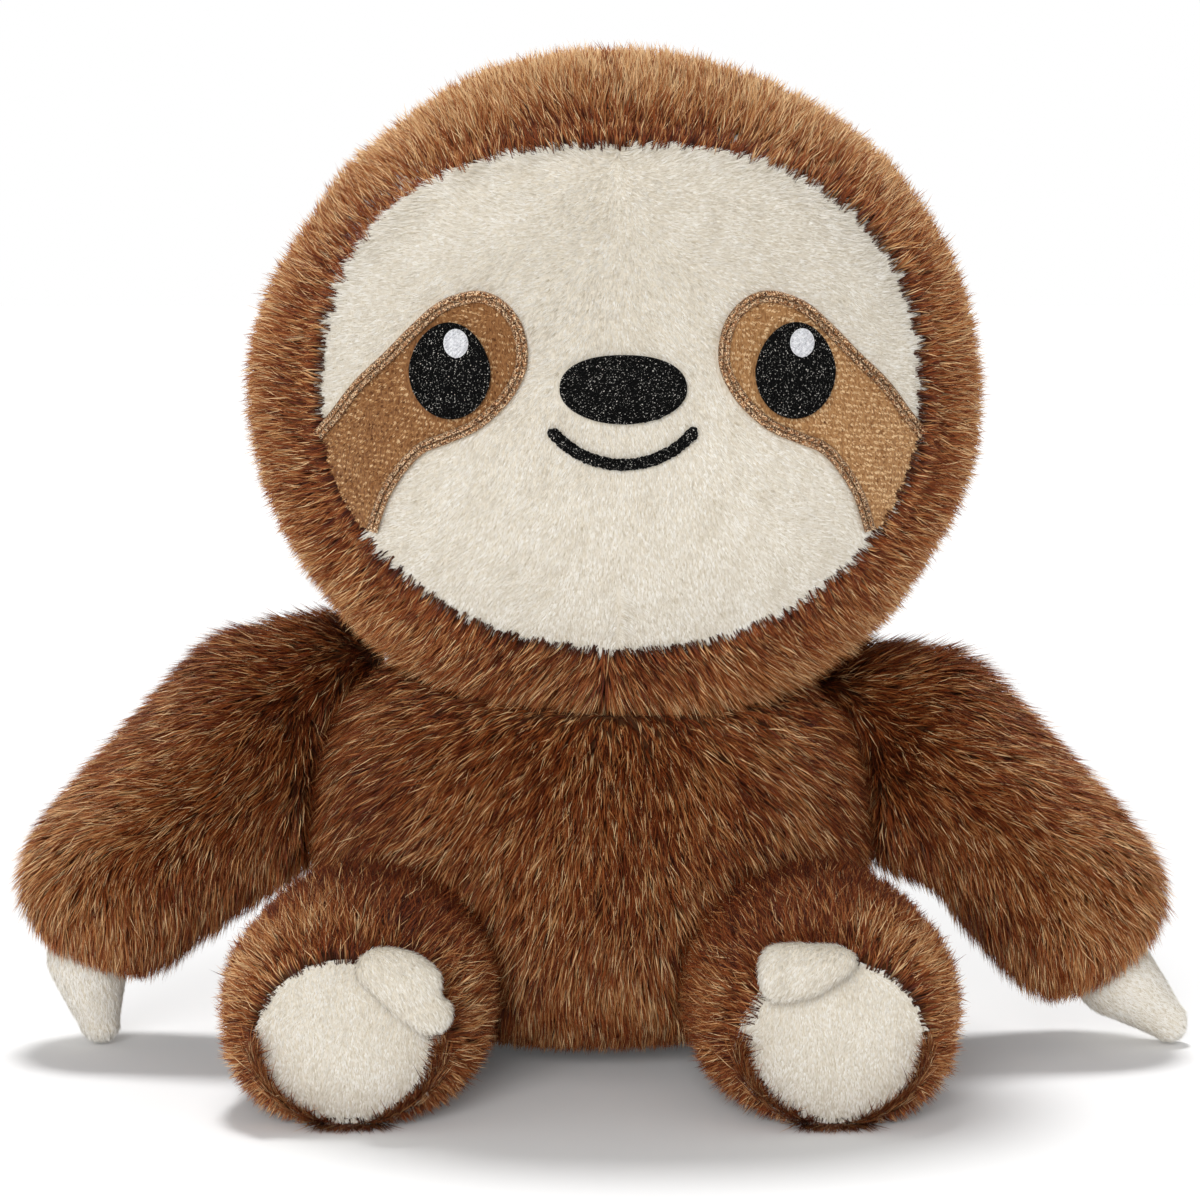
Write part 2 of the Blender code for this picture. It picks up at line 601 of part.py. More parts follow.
def build_leg(side, way, hip):
    """A stub leg with its stuffing, the sole set in its front and the toe folded over the sole."""
    mirror = np.array([way, 1.0, 1.0])
    outer = leg_grid(0.0, LIMB_SIDES, LEG_LENGTH, SOLE_RIM) * mirror
    inner = leg_grid(COVER_WALL, LIMB_SIDES, LEG_LENGTH, 0.0) * mirror
    add_shell(f"leg_cover_{side}", outer, inner, FUR, hip)
    end = LEG_LENGTH - SOLE_THICKNESS - STUFFING_GAP
    fill = leg_grid(COVER_WALL + STUFFING_GAP, LIMB_SIDES, end, -STUFFING_GAP) * mirror
    add_solid(f"leg_stuffing_{side}", fill, FIBRE, hip)
    middle = np.array([LEG_SPLAY * way, -LEG_LENGTH, sole_rise()])
    add_sole(side, middle, hip)
    build_toe(side, way, middle, hip)


def add_sole(side, middle, hip):
    """The sole: an oval plush panel that domes out of the leg's front opening."""
    turn = (spread(0.0, 2.0 * math.pi, LIMB_SIDES + 1)[:-1] + math.pi / LIMB_SIDES)[None, :]
    share = spread(0.0, 1.0, 5)[:, None]
    x = share * SOLE_HALF_WIDTH * np.cos(turn)
    z = share * SOLE_HALF_HEIGHT * np.sin(turn)
    front = np.stack([x, -SOLE_DOME * (1.0 - share**2) + 0.0 * turn, z], axis=-1)
    back = np.stack([x, SOLE_THICKNESS + 0.0 * x, z], axis=-1)
    add_shell(f"sole_pad_{side}", front + middle, back + middle, CREAM, hip, ends=(False, True))


def build_toe(side, way, middle, hip):
    """A flat stuffed toe, folded along the upper inner edge of the sole, on its root's hinge."""
    inward = np.array([-way, 1.0, 1.0])
    known = [(SOLE_HALF_WIDTH * x, SOLE_HALF_WIDTH * z, TOE_HALF_WIDTH * wide) for x, z, wide in TOE_LINE_SHARES]
    line = smooth_line(known, 40)
    run = (1.0 - np.cos(spread(0.0, math.pi, 10))) / 2.0
    at = np.stack([np.interp(run, spread(0.0, 1.0, 40), line[:, k]) for k in range(3)], axis=-1)
    along = np.gradient(line[:, :2], axis=0)
    along = np.stack([np.interp(run, spread(0.0, 1.0, 40), along[:, k]) for k in range(2)], axis=-1)
    along /= np.linalg.norm(along, axis=1, keepdims=True)
    plump = np.sqrt(1.0 - (2.0 * run - 1.0) ** 6)[1:-1, None]
    at, along = at[1:-1], along[1:-1]
    turn = spread(0.0, 2.0 * math.pi, SMALL_SIDES + 1)[None, :-1]
    wide = at[:, 2:] * plump * np.cos(turn)
    thick = TOE_HALF_THICKNESS * plump * np.sin(turn)
    depth = -(TOE_GAP + TOE_HALF_THICKNESS)
    x = at[:, :1] - along[:, 1:] * wide
    z = at[:, 1:2] + along[:, :1] * wide
    rings = np.stack([x, depth + thick, z], axis=-1)
    root = np.array([np.interp(TOE_PIVOT_SHARE, spread(0.0, 1.0, 40), line[:, k]) for k in range(2)])
    pivot = np.array([root[0], depth, root[1]])
    hinge = place(f"toe_pivot_{side}", hip, middle + pivot * inward)
    add_solid(f"toe_claw_{side}", (rings - pivot) * inward, CREAM, hinge)


def lift_room():
    """Rings of the room in front of a hip that a leg takes up as it lifts, from the hip's middle."""
    turn = spread(0.0, 2.0 * math.pi, 2 * SMALL_SIDES + 1)[None, :-1]
    far = np.array([[0.0], [BODY_FRONT_DEPTH]])
    rise = far * math.sin(HIP_LIFT) / 2.0
    wide = LEG_HALF_WIDTH + JOINT_GAP
    high = LEG_HALF_HEIGHT + JOINT_GAP + rise
    return np.stack([wide * np.cos(turn) + 0.0 * far, 0.0 * turn - far, rise + high * np.sin(turn)], axis=-1)


def build_cutters():
    """The seats that the head, the arms and the legs turn in, cut out of the body."""
    room = np.array([NECK_SIDE_ROOM, NECK_FRONT_ROOM, JOINT_GAP])
    sizes = np.array([HEAD_HALF_WIDTH, HEAD_BACK_DEPTH, HEAD_HALF_HEIGHT]) + room
    centre = (HEAD_SHIFT_X, HEAD_SHIFT_Y, HEAD_CENTRE_Z)
    cutters = [add_cutter("neck_seat", closed_ball(sizes, 2 * SMALL_SIDES, 2 * SMALL_SIDES, centre))]
    for side, way in SIDES.items():
        centre = (way * SHOULDER_X, SHOULDER_Y, SHOULDER_Z[side])
        rings = closed_ball(SHOULDER_BALL + JOINT_GAP, SMALL_SIDES, 2 * SMALL_SIDES, centre)
        cutters.append(add_cutter(f"shoulder_seat_{side}", rings))
        centre = (way * HIP_X, HIP_Y, LEG_HALF_HEIGHT - FLOOR_CUT)
        sizes = np.array([LEG_HALF_WIDTH, LEG_HALF_HEIGHT, LEG_HALF_HEIGHT]) + JOINT_GAP
        cutters.append(add_cutter(f"hip_seat_{side}", closed_ball(sizes, LIMB_SIDES, 2 * SMALL_SIDES, centre)))
        cutters.append(add_cutter(f"hip_room_{side}", lift_room() + centre))
    return cutters


def main():
    """Build the body, then what hangs from each joint."""
    clear_scene()
    build_body(build_cutters())
    neck = place("neck", None, (HEAD_SHIFT_X, HEAD_SHIFT_Y, HEAD_CENTRE_Z), (0.0, 0.0, HEAD_TURN))
    build_head(neck)
    build_features(neck)
    for side, way in SIDES.items():
        build_eye(side, way, neck)
        shoulder = place(f"shoulder_{side}", None, (way * SHOULDER_X, SHOULDER_Y, SHOULDER_Z[side]))
        build_arm(side, way, shoulder)
        hip = place(f"hip_{side}", None, (way * HIP_X, HIP_Y, LEG_HALF_HEIGHT - FLOOR_CUT))
        build_leg(side, way, hip)


main()
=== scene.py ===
"""A plush sloth that sits with its legs forward: fur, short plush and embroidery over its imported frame."""

from __future__ import annotations

import logging
import math
from dataclasses import dataclass, field, replace
from enum import Enum
from typing import Any, Callable, Sequence

import bpy
import numpy as np
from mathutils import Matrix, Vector


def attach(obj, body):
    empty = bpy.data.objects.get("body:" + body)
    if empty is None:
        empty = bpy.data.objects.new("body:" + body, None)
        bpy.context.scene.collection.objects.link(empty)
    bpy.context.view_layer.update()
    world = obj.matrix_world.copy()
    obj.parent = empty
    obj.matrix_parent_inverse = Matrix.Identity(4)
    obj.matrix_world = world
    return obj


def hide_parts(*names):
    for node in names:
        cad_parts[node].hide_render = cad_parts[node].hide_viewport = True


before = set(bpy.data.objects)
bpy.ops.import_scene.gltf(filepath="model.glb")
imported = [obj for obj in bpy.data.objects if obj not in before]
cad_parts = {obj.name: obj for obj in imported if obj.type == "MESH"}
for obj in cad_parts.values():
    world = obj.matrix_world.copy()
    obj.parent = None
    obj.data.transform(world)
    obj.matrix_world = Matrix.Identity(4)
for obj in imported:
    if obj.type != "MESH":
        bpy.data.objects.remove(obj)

LOG = logging.getLogger("sloth")
Array = np.ndarray
Colour = tuple[int, int, int]
Field = Callable[[Array], Array]
Flow = Callable[[Array, Array], Array]
WELD = 1e-6
STRAND_MAP = "OFBake"
STRAND_MAP_HEIGHT = 0.25
STRAND_MAP_WIDTH = 0.003
UP = np.array([0.0, 0.0, 1.0])


class Side(Enum):
    """The sloth's own left and right; the value is the way that side lies along X."""

    LEFT = 1.0
    RIGHT = -1.0

    @property
    def word(self) -> str:
        """The side's name in a piece's name."""
        return self.name.lower()

    @property
    def mirror(self) -> Array:
        """What turns a left piece into this side's."""
        return np.array([self.value, 1.0, 1.0])

    def pick(self, pair: Sequence[Any]) -> Any:
        """This side's one of a pair, the left one first."""
        return pair[0 if self is Side.LEFT else 1]


def unit(vectors: Array) -> Array:
    """Vectors scaled to length one."""
    return vectors / np.maximum(np.linalg.norm(vectors, axis=-1, keepdims=True), 1e-12)


def dot(first: Array, second: Array) -> Array:
    """Products of vectors, kept as a last axis of one."""
    return np.sum(first * second, axis=-1, keepdims=True)


def stacked(*parts: Any) -> Array:
    """Numbers side by side as a last axis, each spread over the shape of them all."""
    return np.stack(np.broadcast_arrays(*parts), axis=-1)


def around(count: int) -> Array:
    """Even angles once round a circle, from 0."""
    return np.linspace(0.0, 2.0 * math.pi, count + 1)[:-1]


def ease(values: Array, low: float, high: float) -> Array:
    """From 0 at low to 1 at high, smooth at both ends: t squared times 3 - 2t."""
    t = np.clip((values - low) / (high - low), 0.0, 1.0)
    return t * t * (3.0 - 2.0 * t)


def along_surface(vectors: Array, normals: Array) -> Array:
    """Vectors laid flat on a surface: each less its part along the normal, then scaled to one."""
    return unit(vectors - dot(vectors, normals) * normals)


def swung(vectors: Array, normals: Array, angle: Array) -> Array:
    """Vectors on a surface turned about its normals by an angle each."""
    angle = np.asarray(angle)[..., None]
    return vectors * np.cos(angle) + np.cross(normals, vectors) * np.sin(angle)


def power_wave(angle: Array, power: float) -> tuple[Array, Array]:
    """Cosine and sine of an angle swollen to a superellipse's: each to the power 2 / power, with its sign."""
    swell = 2.0 / power
    cosine = np.sign(np.cos(angle)) * np.abs(np.cos(angle)) ** swell
    sine = np.sign(np.sin(angle)) * np.abs(np.sin(angle)) ** swell
    return cosine, sine


def smooth_line(points: Sequence[Any], count: int) -> Array:
    """A smooth line through the given points: between two of them, the cubic with their slopes.

    Args:
        points: The points, or rows of numbers, to go through.
        count: How many points the line gets.

    Returns:
        The line, count rows.
    """
    known = np.asarray(points, dtype=float)
    before = np.concatenate([2.0 * known[:1] - known[1:2], known[:-1]])
    after = np.concatenate([known[1:], 2.0 * known[-1:] - known[-2:-1]])
    slope = (after - before) / 2.0
    along = np.linspace(0.0, len(known) - 1.0, count)
    start = np.minimum(along.astype(int), len(known) - 2)
    t = (along - start)[:, None]
    first = known[start] * (2.0 * t**3 - 3.0 * t**2 + 1.0) + slope[start] * (t**3 - 2.0 * t**2 + t)
    last = known[start + 1] * (3.0 * t**2 - 2.0 * t**3) + slope[start + 1] * (t**3 - t**2)
    return first + last


def inside(places: Array, outline: Array) -> Array:
    """Which flat places lie inside a closed outline: a ray to the right crosses it an odd number of times."""
    start, end = outline, np.roll(outline, -1, axis=0)
    x, z = places[:, :1], places[:, 1:]
    spans = (start[:, 1] > z) != (end[:, 1] > z)
    rise = np.where(end[:, 1] == start[:, 1], 1e-12, end[:, 1] - start[:, 1])
    crossing = start[:, 0] + (z - start[:, 1]) * (end[:, 0] - start[:, 0]) / rise
    return np.sum(spans & (x < crossing), axis=1) % 2 == 1


def distance_to(places: Array, line: Array) -> Array:
    """The distance of flat places to the nearest point of a line."""
    return np.sqrt(np.min(np.sum((places[:, None] - line[None]) ** 2, axis=-1), axis=1))


@dataclass(frozen=True)
class Waves:
    """A smooth random field: the sum of cosines that run in random directions, about -1 to 1."""

    seed: int
    length: float
    count: int = 14

    def at(self, points: Array) -> Array:
        """The field's value at each point."""
        rng = np.random.default_rng(self.seed)
        ways = unit(rng.normal(size=(self.count, 3))) * rng.uniform(0.6, 1.5, (self.count, 1))
        phase = rng.uniform(0.0, 2.0 * math.pi, self.count)
        waves = np.cos(points @ ways.T * (2.0 * math.pi / self.length) + phase)
        return waves.sum(axis=1) / math.sqrt(self.count)


def grid_triangles(index: Array, wrap: bool) -> Array:
    """Two triangles for each cell of a grid of point numbers; with wrap, the last column meets the first."""
    if wrap:
        index = np.concatenate([index, index[:, :1]], axis=1)
    a, b = index[:-1, :-1].ravel(), index[:-1, 1:].ravel()
    c, d = index[1:, 1:].ravel(), index[1:, :-1].ravel()
    return np.concatenate([np.stack([a, b, c], axis=-1), np.stack([a, c, d], axis=-1)])


def strip(first: Array, second: Array) -> Array:
    """Triangles between two lines of point numbers."""
    return grid_triangles(np.stack([first, second]), False)[:, ::-1]


def corners_of(points: Array, faces: Array) -> tuple[Array, ...]:
    """The three corners of each triangle."""
    return tuple(points[faces[:, k]] for k in range(3))


@dataclass
class Surface:
    """A mesh as arrays: points in metres, and triangles that face outwards."""

    points: Array
    faces: Array

    @classmethod
    def outward(cls, points: Array, faces: Array) -> Surface:
        """A closed surface with its faces turned by the sign of its volume."""
        a, b, c = corners_of(points, faces)
        return cls(points, faces if np.sum(a * np.cross(b, c)) > 0 else faces[:, ::-1])

    @classmethod
    def closed(cls, points: Array, faces: Array) -> Surface:
        """Points that coincide made one, empty triangles dropped, and faces turned outwards.

        Args:
            points: Points, some of them doubled at seams and poles.
            faces: Triangles of one closed surface, all wound the same way.

        Returns:
            The closed surface.
        """
        keys = np.round(points / WELD).astype(np.int64)
        _, first, index = np.unique(keys, axis=0, return_index=True, return_inverse=True)
        faces = index.reshape(-1)[faces]
        real = (faces[:, 0] != faces[:, 1]) & (faces[:, 1] != faces[:, 2]) & (faces[:, 2] != faces[:, 0])
        return cls.outward(points[first], faces[real])

    @classmethod
    def shell(cls, outer: Array, inner: Array, wrap: bool) -> Surface:
        """A sheet with a thickness: two grids, and strips that join their open edges.

        Args:
            outer: Outer grid of points, rows by columns by 3.
            inner: Inner grid of the same shape.
            wrap: Whether the last column meets the first.

        Returns:
            The closed shell.
        """
        rows, columns = outer.shape[:2]
        over = np.arange(rows * columns).reshape(rows, columns)
        under = over + rows * columns
        ring = np.append(np.arange(columns), 0) if wrap else np.arange(columns)
        faces = [grid_triangles(over, wrap), grid_triangles(under, wrap)[:, ::-1]]
        faces += [strip(over[0][ring], under[0][ring])[:, ::-1], strip(over[-1][ring], under[-1][ring])]
        if not wrap:
            faces += [strip(over[:, 0], under[:, 0]), strip(over[:, -1], under[:, -1])[:, ::-1]]
        points = np.concatenate([outer.reshape(-1, 3), inner.reshape(-1, 3)])
        return cls.closed(points, np.concatenate(faces))

    @classmethod
    def solid(cls, rings: Array) -> Surface:
        """Rings closed at both ends by a fan to the ring's middle."""
        ends = [np.broadcast_to(ring.mean(axis=0), ring.shape)[None] for ring in (rings[0], rings[-1])]
        rings = np.concatenate([ends[0], rings, ends[1]])
        index = np.arange(rings.shape[0] * rings.shape[1]).reshape(rings.shape[:2])
        return cls.closed(rings.reshape(-1, 3), grid_triangles(index, True))

    @classmethod
    def sheet(cls, grid: Array, wrap: bool, centre: Array) -> Surface:
        """An open grid to grow a pile on, its faces turned away from a centre."""
        points = grid.reshape(-1, 3)
        faces = grid_triangles(np.arange(len(points)).reshape(grid.shape[:2]), wrap)
        a, b, c = corners_of(points, faces)
        away = np.sum(np.cross(b - a, c - a) * (a - centre))
        return cls(points, faces if away > 0 else faces[:, ::-1])

    @classmethod
    def joined(cls, *parts: Surface) -> Surface:
        """Several surfaces as one."""
        before = np.cumsum([0] + [len(part.points) for part in parts[:-1]])
        faces = np.concatenate([part.faces + first for part, first in zip(parts, before)])
        return cls(np.concatenate([part.points for part in parts]), faces)

    def normals(self) -> Array:
        """The normal at each point: the sum of the area vectors of the triangles round it."""
        a, b, c = corners_of(self.points, self.faces)
        area = np.repeat(np.cross(b - a, c - a), 3, axis=0)
        corners = self.faces.ravel()
        return unit(stacked(*(np.bincount(corners, area[:, k], len(self.points)) for k in range(3))))

    def scatter(self, density: float, rng: np.random.Generator) -> tuple[Array, Array]:
        """Random places, even over the area: a step along the summed areas, and a point of that triangle.

        Args:
            density: Places per square metre.
            rng: The random numbers.

        Returns:
            The places and the surface's normals there.
        """
        a, b, c = corners_of(self.points, self.faces)
        total = np.cumsum(np.linalg.norm(np.cross(b - a, c - a), axis=1) / 2.0)
        count = int(total[-1] * density)
        steps = (np.arange(count) + rng.random(count)) / count * total[-1]
        pick = np.minimum(np.searchsorted(total, steps), len(self.faces) - 1)
        share = rng.random((count, 2))
        share = np.where(share.sum(axis=1, keepdims=True) > 1.0, 1.0 - share, share)
        weights = stacked(1.0 - share.sum(axis=1), share[:, 0], share[:, 1])[..., None]
        corners = self.faces[pick]
        places = np.sum(self.points[corners] * weights, axis=1)
        return places, unit(np.sum(self.normals()[corners] * weights, axis=1))


@dataclass
class Strands:
    """Many thin blades as one mesh: points, triangles, and each corner's place in the strand map."""

    points: Array
    faces: Array
    places: Array


@dataclass(frozen=True)
class Pile:
    """How a pile grows: sizes in metres, angles in radians, counts and shares.

    A strand's middle line leaves the surface at the root angle and bends down to the tip angle, in equal
    steps. Strands stand in clumps: roots lie in a disc, and tips are drawn together by the gather share.
    Where the surface faces down, each step leans by the hang share towards straight down. A few strands
    are lighter than the rest.
    """

    length: float
    width: float
    density: float
    root_angle: float = math.radians(60)
    tip_angle: float = math.radians(14)
    steps: int = 2
    clump: int = 5
    clump_radius: float = 0.0009
    gather: float = 0.40
    clump_swing: float = 0.15
    stray_swing: float = 0.17
    roll: float = 0.8
    shade_clump: float = 0.10
    shade_stray: float = 0.17
    light_part: float = 0.14
    light_rise: float = 0.43
    hang: float = 0.9
    sink: float = 0.0003
    clump_lengths: tuple[float, float] = (0.85, 1.12)
    stray_lengths: tuple[float, float] = (0.72, 1.12)
    lean_spread: float = 0.10
    taper: float = 0.55
    floor_room: float = 0.0004

    def grow(
        self,
        ground: Surface,
        flow: Flow,
        shade: Field,
        seed: int,
        keep: Field | None = None,
        share: Field | None = None,
        stand: Field | None = None,
    ) -> Strands:
        """Strands over a surface.

        Args:
            ground: The surface they stand on.
            flow: From places and normals, the way that the pile is combed there.
            shade: From places, the shade from 0, dark, to 1, light.
            seed: Seed of the random numbers.
            keep: From places, whether anything grows there.
            share: From places, the share of the full length.
            stand: From places, how much steeper than usual the strands stand.

        Returns:
            The strands as one mesh.
        """
        rng = np.random.default_rng(seed)
        middle, normal = ground.scatter(self.density / self.clump, rng)
        if keep is not None:
            kept = keep(middle)
            middle, normal = middle[kept], normal[kept]
        count = len(middle)
        way = along_surface(flow(middle, normal), normal)
        way = swung(way, normal, rng.normal(0.0, self.clump_swing, count))
        length = self.length * rng.uniform(*self.clump_lengths, count)
        if share is not None:
            length = length * share(middle)
        steep = np.zeros(count) if stand is None else stand(middle)
        tone = shade(middle) + rng.normal(0.0, self.shade_clump, count)
        each = (count, self.clump)
        middle, normal, way = (v[:, None].repeat(self.clump, axis=1) for v in (middle, normal, way))
        spot = self.clump_radius * np.sqrt(rng.random(each))
        turn = rng.uniform(0.0, 2.0 * math.pi, each)
        aside = np.cross(normal, way)
        offset = spot[..., None] * (np.cos(turn)[..., None] * way + np.sin(turn)[..., None] * aside)
        way = swung(way, normal, rng.normal(0.0, self.stray_swing, each))
        length = (length[:, None] * rng.uniform(*self.stray_lengths, each))[..., None]
        lean = (steep[:, None] + rng.normal(0.0, self.lean_spread, each))[..., None]
        at = middle + offset - self.sink * normal
        lines, headings = [at], []
        for step in range(self.steps):
            angle = self.root_angle + (self.tip_angle - self.root_angle) * (step + 0.5) / self.steps + lean
            heading = np.cos(angle) * way + np.sin(angle) * normal
            heading = unit(heading - self.hang * np.maximum(-normal[..., 2:], 0.0) * UP)
            headings.append(heading)
            at = at + heading * length / self.steps
            lines.append(at - self.gather * ((step + 1.0) / self.steps) ** 2 * offset)
        tone = tone[:, None] + rng.normal(0.0, self.shade_stray, each)
        tone = tone + self.light_rise * (rng.random(each) < self.light_part)
        rolled = rng.uniform(-self.roll, self.roll, each)
        return self.blades(np.stack(lines, axis=2), np.stack(headings, axis=2), normal, rolled, tone)

    def blades(self, lines: Array, headings: Array, normal: Array, rolled: Array, tone: Array) -> Strands:
        """Flat blades along middle lines: two points across at each step, one at the tip.

        Args:
            lines: Middle lines, clumps by strands by steps + 1 by 3.
            headings: The way of each step.
            normal: The surface's normal under each strand.
            rolled: Each blade's turn about its own line.
            tone: Each strand's shade.

        Returns:
            The blades as one mesh.
        """
        steps = self.steps
        lines = lines.reshape(-1, steps + 1, 3)
        headings = headings.reshape(-1, steps, 3)
        across = unit(np.cross(headings, normal.reshape(-1, 1, 3)))
        angle = rolled.reshape(-1, 1, 1)
        across = across * np.cos(angle) + np.cross(headings, across) * np.sin(angle)
        share = np.arange(steps) / steps
        half = (self.width / 2.0 * (1.0 - self.taper * share**2))[None, :, None]
        pairs = np.stack([lines[:, :steps] - across * half, lines[:, :steps] + across * half], axis=2)
        points = np.concatenate([pairs.reshape(len(lines), -1, 3), lines[:, -1:]], axis=1)
        low = 2 * np.arange(steps - 1)
        body = np.concatenate([stacked(low, low + 1, low + 3), stacked(low, low + 3, low + 2)])
        one = np.concatenate([body, [[2 * steps - 2, 2 * steps - 1, 2 * steps]]])
        faces = one[None] + (np.arange(len(lines)) * (2 * steps + 1))[:, None, None]
        tone = np.clip(tone.reshape(-1, 1), 0.02, 0.98)
        side = np.append(np.tile([-1.0, 1.0], steps), 0.0) * STRAND_MAP_WIDTH / 2.0
        height = np.append(np.repeat(share, 2), 1.0) * STRAND_MAP_HEIGHT
        places = stacked(tone + side, height)
        points[..., 2] = np.maximum(points[..., 2], self.floor_room)
        return Strands(points.reshape(-1, 3), faces.reshape(-1, 3), places.reshape(-1, 2))


@dataclass(frozen=True)
class Link:
    """A socket in shader maths: the operators add Math nodes to its tree."""

    tree: bpy.types.NodeTree
    socket: bpy.types.NodeSocket

    def maths(self, operation: str, first: Any, second: Any) -> Link:
        """A Math node of one operation on sockets or numbers."""
        node = self.tree.nodes.new("ShaderNodeMath")
        node.operation = operation
        feed(self.tree, node.inputs[0], first)
        feed(self.tree, node.inputs[1], second)
        return Link(self.tree, node.outputs[0])

    def __add__(self, other: Any) -> Link:
        """self + other."""
        return self.maths("ADD", self, other)

    def __sub__(self, other: Any) -> Link:
        """self - other."""
        return self.maths("SUBTRACT", self, other)

    def __rsub__(self, other: Any) -> Link:
        """other - self."""
        return self.maths("SUBTRACT", other, self)

    def __mul__(self, other: Any) -> Link:
        """self * other."""
        return self.maths("MULTIPLY", self, other)

    def __truediv__(self, other: Any) -> Link:
        """self / other."""
        return self.maths("DIVIDE", self, other)

    def __pow__(self, other: Any) -> Link:
        """self ** other."""
        return self.maths("POWER", self, other)

    def eased(self, low: float, high: float) -> Link:
        """From 0 at low to 1 at high, smooth at both ends."""
        node = self.tree.nodes.new("ShaderNodeMapRange")
        node.interpolation_type = "SMOOTHSTEP"
        for name, value in (("Value", self), ("From Min", low), ("From Max", high)):
            feed(self.tree, node.inputs[name], value)
        return Link(self.tree, node.outputs[0])


def feed(tree: bpy.types.NodeTree, slot: bpy.types.NodeSocket, value: Any) -> None:
    """Links a socket to an input, or sets the input's own value."""
    if isinstance(value, Link):
        tree.links.new(value.socket, slot)
    else:
        slot.default_value = value


def shown(red: float, green: float, blue: float) -> tuple[float, ...]:
    """A colour as it looks on a screen, 0 to 255, as the light values and the full alpha that nodes take."""
    values = np.array([red, green, blue]) / 255.0
    light = np.where(values <= 0.04045, values / 12.92, ((values + 0.055) / 1.055) ** 2.4)
    return (*(float(v) for v in light), 1.0)


@dataclass
class Shader:
    """A material, or the world, as nodes that one method adds."""

    tree: bpy.types.NodeTree

    def add(
        self,
        kind: str,
        settings: dict[str, Any] | None = None,
        inputs: dict[Any, Any] | None = None,
        out: Any = 0,
    ) -> Link:
        """One node.

        Args:
            kind: The node's type.
            settings: Its settings, set first; "stops" are a ramp's places and colours.
            inputs: Values or links by input name or number.
            out: The output wanted, by name or number.

        Returns:
            That output, to go on with.
        """
        node = self.tree.nodes.new(kind)
        for name, value in (settings or {}).items():
            if name == "stops":
                self.set_stops(node.color_ramp, value)
            else:
                setattr(node, name, value)
        for name, value in (inputs or {}).items():
            feed(self.tree, node.inputs[name], value)
        return Link(self.tree, node.outputs[out])

    def set_stops(self, ramp: bpy.types.ColorRamp, stops: Sequence[tuple[float, Colour]]) -> None:
        """Gives a ramp its stops."""
        while len(ramp.elements) < len(stops):
            ramp.elements.new(0.5)
        for element, (place, colour) in zip(ramp.elements, stops):
            element.position = place
            element.color = shown(*colour)

    def blend(self, share: Link, first: Link | Colour, second: Colour) -> Link:
        """Two colours mixed by a share; those that aren't links are a screen's."""
        first = first if isinstance(first, Link) else shown(*first)
        return self.add("ShaderNodeMix", {"data_type": "RGBA"}, {0: share, 6: first, 7: shown(*second)}, 2)

    def places(self) -> Link:
        """Places in the object's own frame."""
        return self.add("ShaderNodeTexCoord", None, None, "Object")

    def noise(self, places: Link, scale: float, detail: float) -> Link:
        """Soft noise over places, about 0 to 1."""
        return self.add("ShaderNodeTexNoise", None, {"Vector": places, "Scale": scale, "Detail": detail})

    def part(self, vector: Link, axis: str) -> Link:
        """One number of a vector."""
        return self.add("ShaderNodeSeparateXYZ", None, {0: vector}, axis)

    def bump(self, height: Link, strength: float) -> Link:
        """The normal over a height in metres."""
        return self.add("ShaderNodeBump", None, {"Height": height, "Distance": 1.0, "Strength": strength})

    def surface(self, colour: Link, roughness: Any, more: dict[str, Any]) -> None:
        """Ends the tree with a principled surface."""
        inputs = {"Base Color": colour, "Roughness": roughness, "Specular IOR Level": 0.2} | more
        self.output(self.add("ShaderNodeBsdfPrincipled", None, inputs))

    def output(self, shader: Link, kind: str = "ShaderNodeOutputMaterial") -> None:
        """Ends the tree with its output."""
        node = self.tree.nodes.new(kind)
        self.tree.links.new(shader.socket, node.inputs["Surface"])


@dataclass(frozen=True)
class Finish:
    """A finish by its name; each kind dresses a shader in its own way."""

    name: str

    def material(self) -> bpy.types.Material:
        """The finish as a material."""
        material = bpy.data.materials.new(self.name)
        material.use_nodes = True
        material.node_tree.nodes.clear()
        self.dress(Shader(material.node_tree))
        return material

    def dress(self, shader: Shader) -> None:
        """Adds the finish's nodes."""
        raise NotImplementedError


@dataclass(frozen=True)
class PileFinish(Finish):
    """Strands: the strand map's u picks a shade between dark and light, and v darkens the root as painted
    shade deep in the pile.
    """

    shades: tuple[Colour, ...]
    root: Colour
    root_shade_reach: float = 0.55
    root_shade_depth: float = 0.85
    roughness: float = 0.75
    sheen: float = 0.15

    def dress(self, shader: Shader) -> None:
        """Adds the ramp of shades, the painted shade at the root and a little sheen."""
        strand = shader.add("ShaderNodeUVMap", {"uv_map": STRAND_MAP})
        stops = [(k / (len(self.shades) - 1), shade) for k, shade in enumerate(self.shades)]
        colour = shader.add("ShaderNodeValToRGB", {"stops": stops}, {0: shader.part(strand, "X")})
        height = shader.part(strand, "Y") / STRAND_MAP_HEIGHT
        # Painted shade: each strand darkens towards its root, where the pile shades itself.
        rooted = (1.0 - height.eased(0.0, self.root_shade_reach)) * self.root_shade_depth
        colour = shader.blend(rooted, colour, self.root)
        shader.surface(colour, self.roughness, {"Sheen Weight": self.sheen, "Sheen Roughness": 0.4})


@dataclass(frozen=True)
class BackingFinish(Finish):
    """The knitted cloth that a pile stands on: two shades by soft noise, with fine ribs as bump."""

    dark: Colour
    light: Colour
    rib: float = 0.0007
    height: float = 0.0002
    cloud_scale: float = 90.0

    def dress(self, shader: Shader) -> None:
        """Adds clouds of two shades and the ribs."""
        places = shader.places()
        fine = shader.noise(places, 1.0 / self.rib, 2.0)
        cloud = shader.noise(places, self.cloud_scale, 3.0).eased(0.35, 0.65)
        colour = shader.blend((cloud * 0.6 + fine * 0.5) ** 1.2, self.dark, self.light)
        shader.surface(colour, 0.9, {"Normal": shader.bump(fine * self.height, 0.6)})


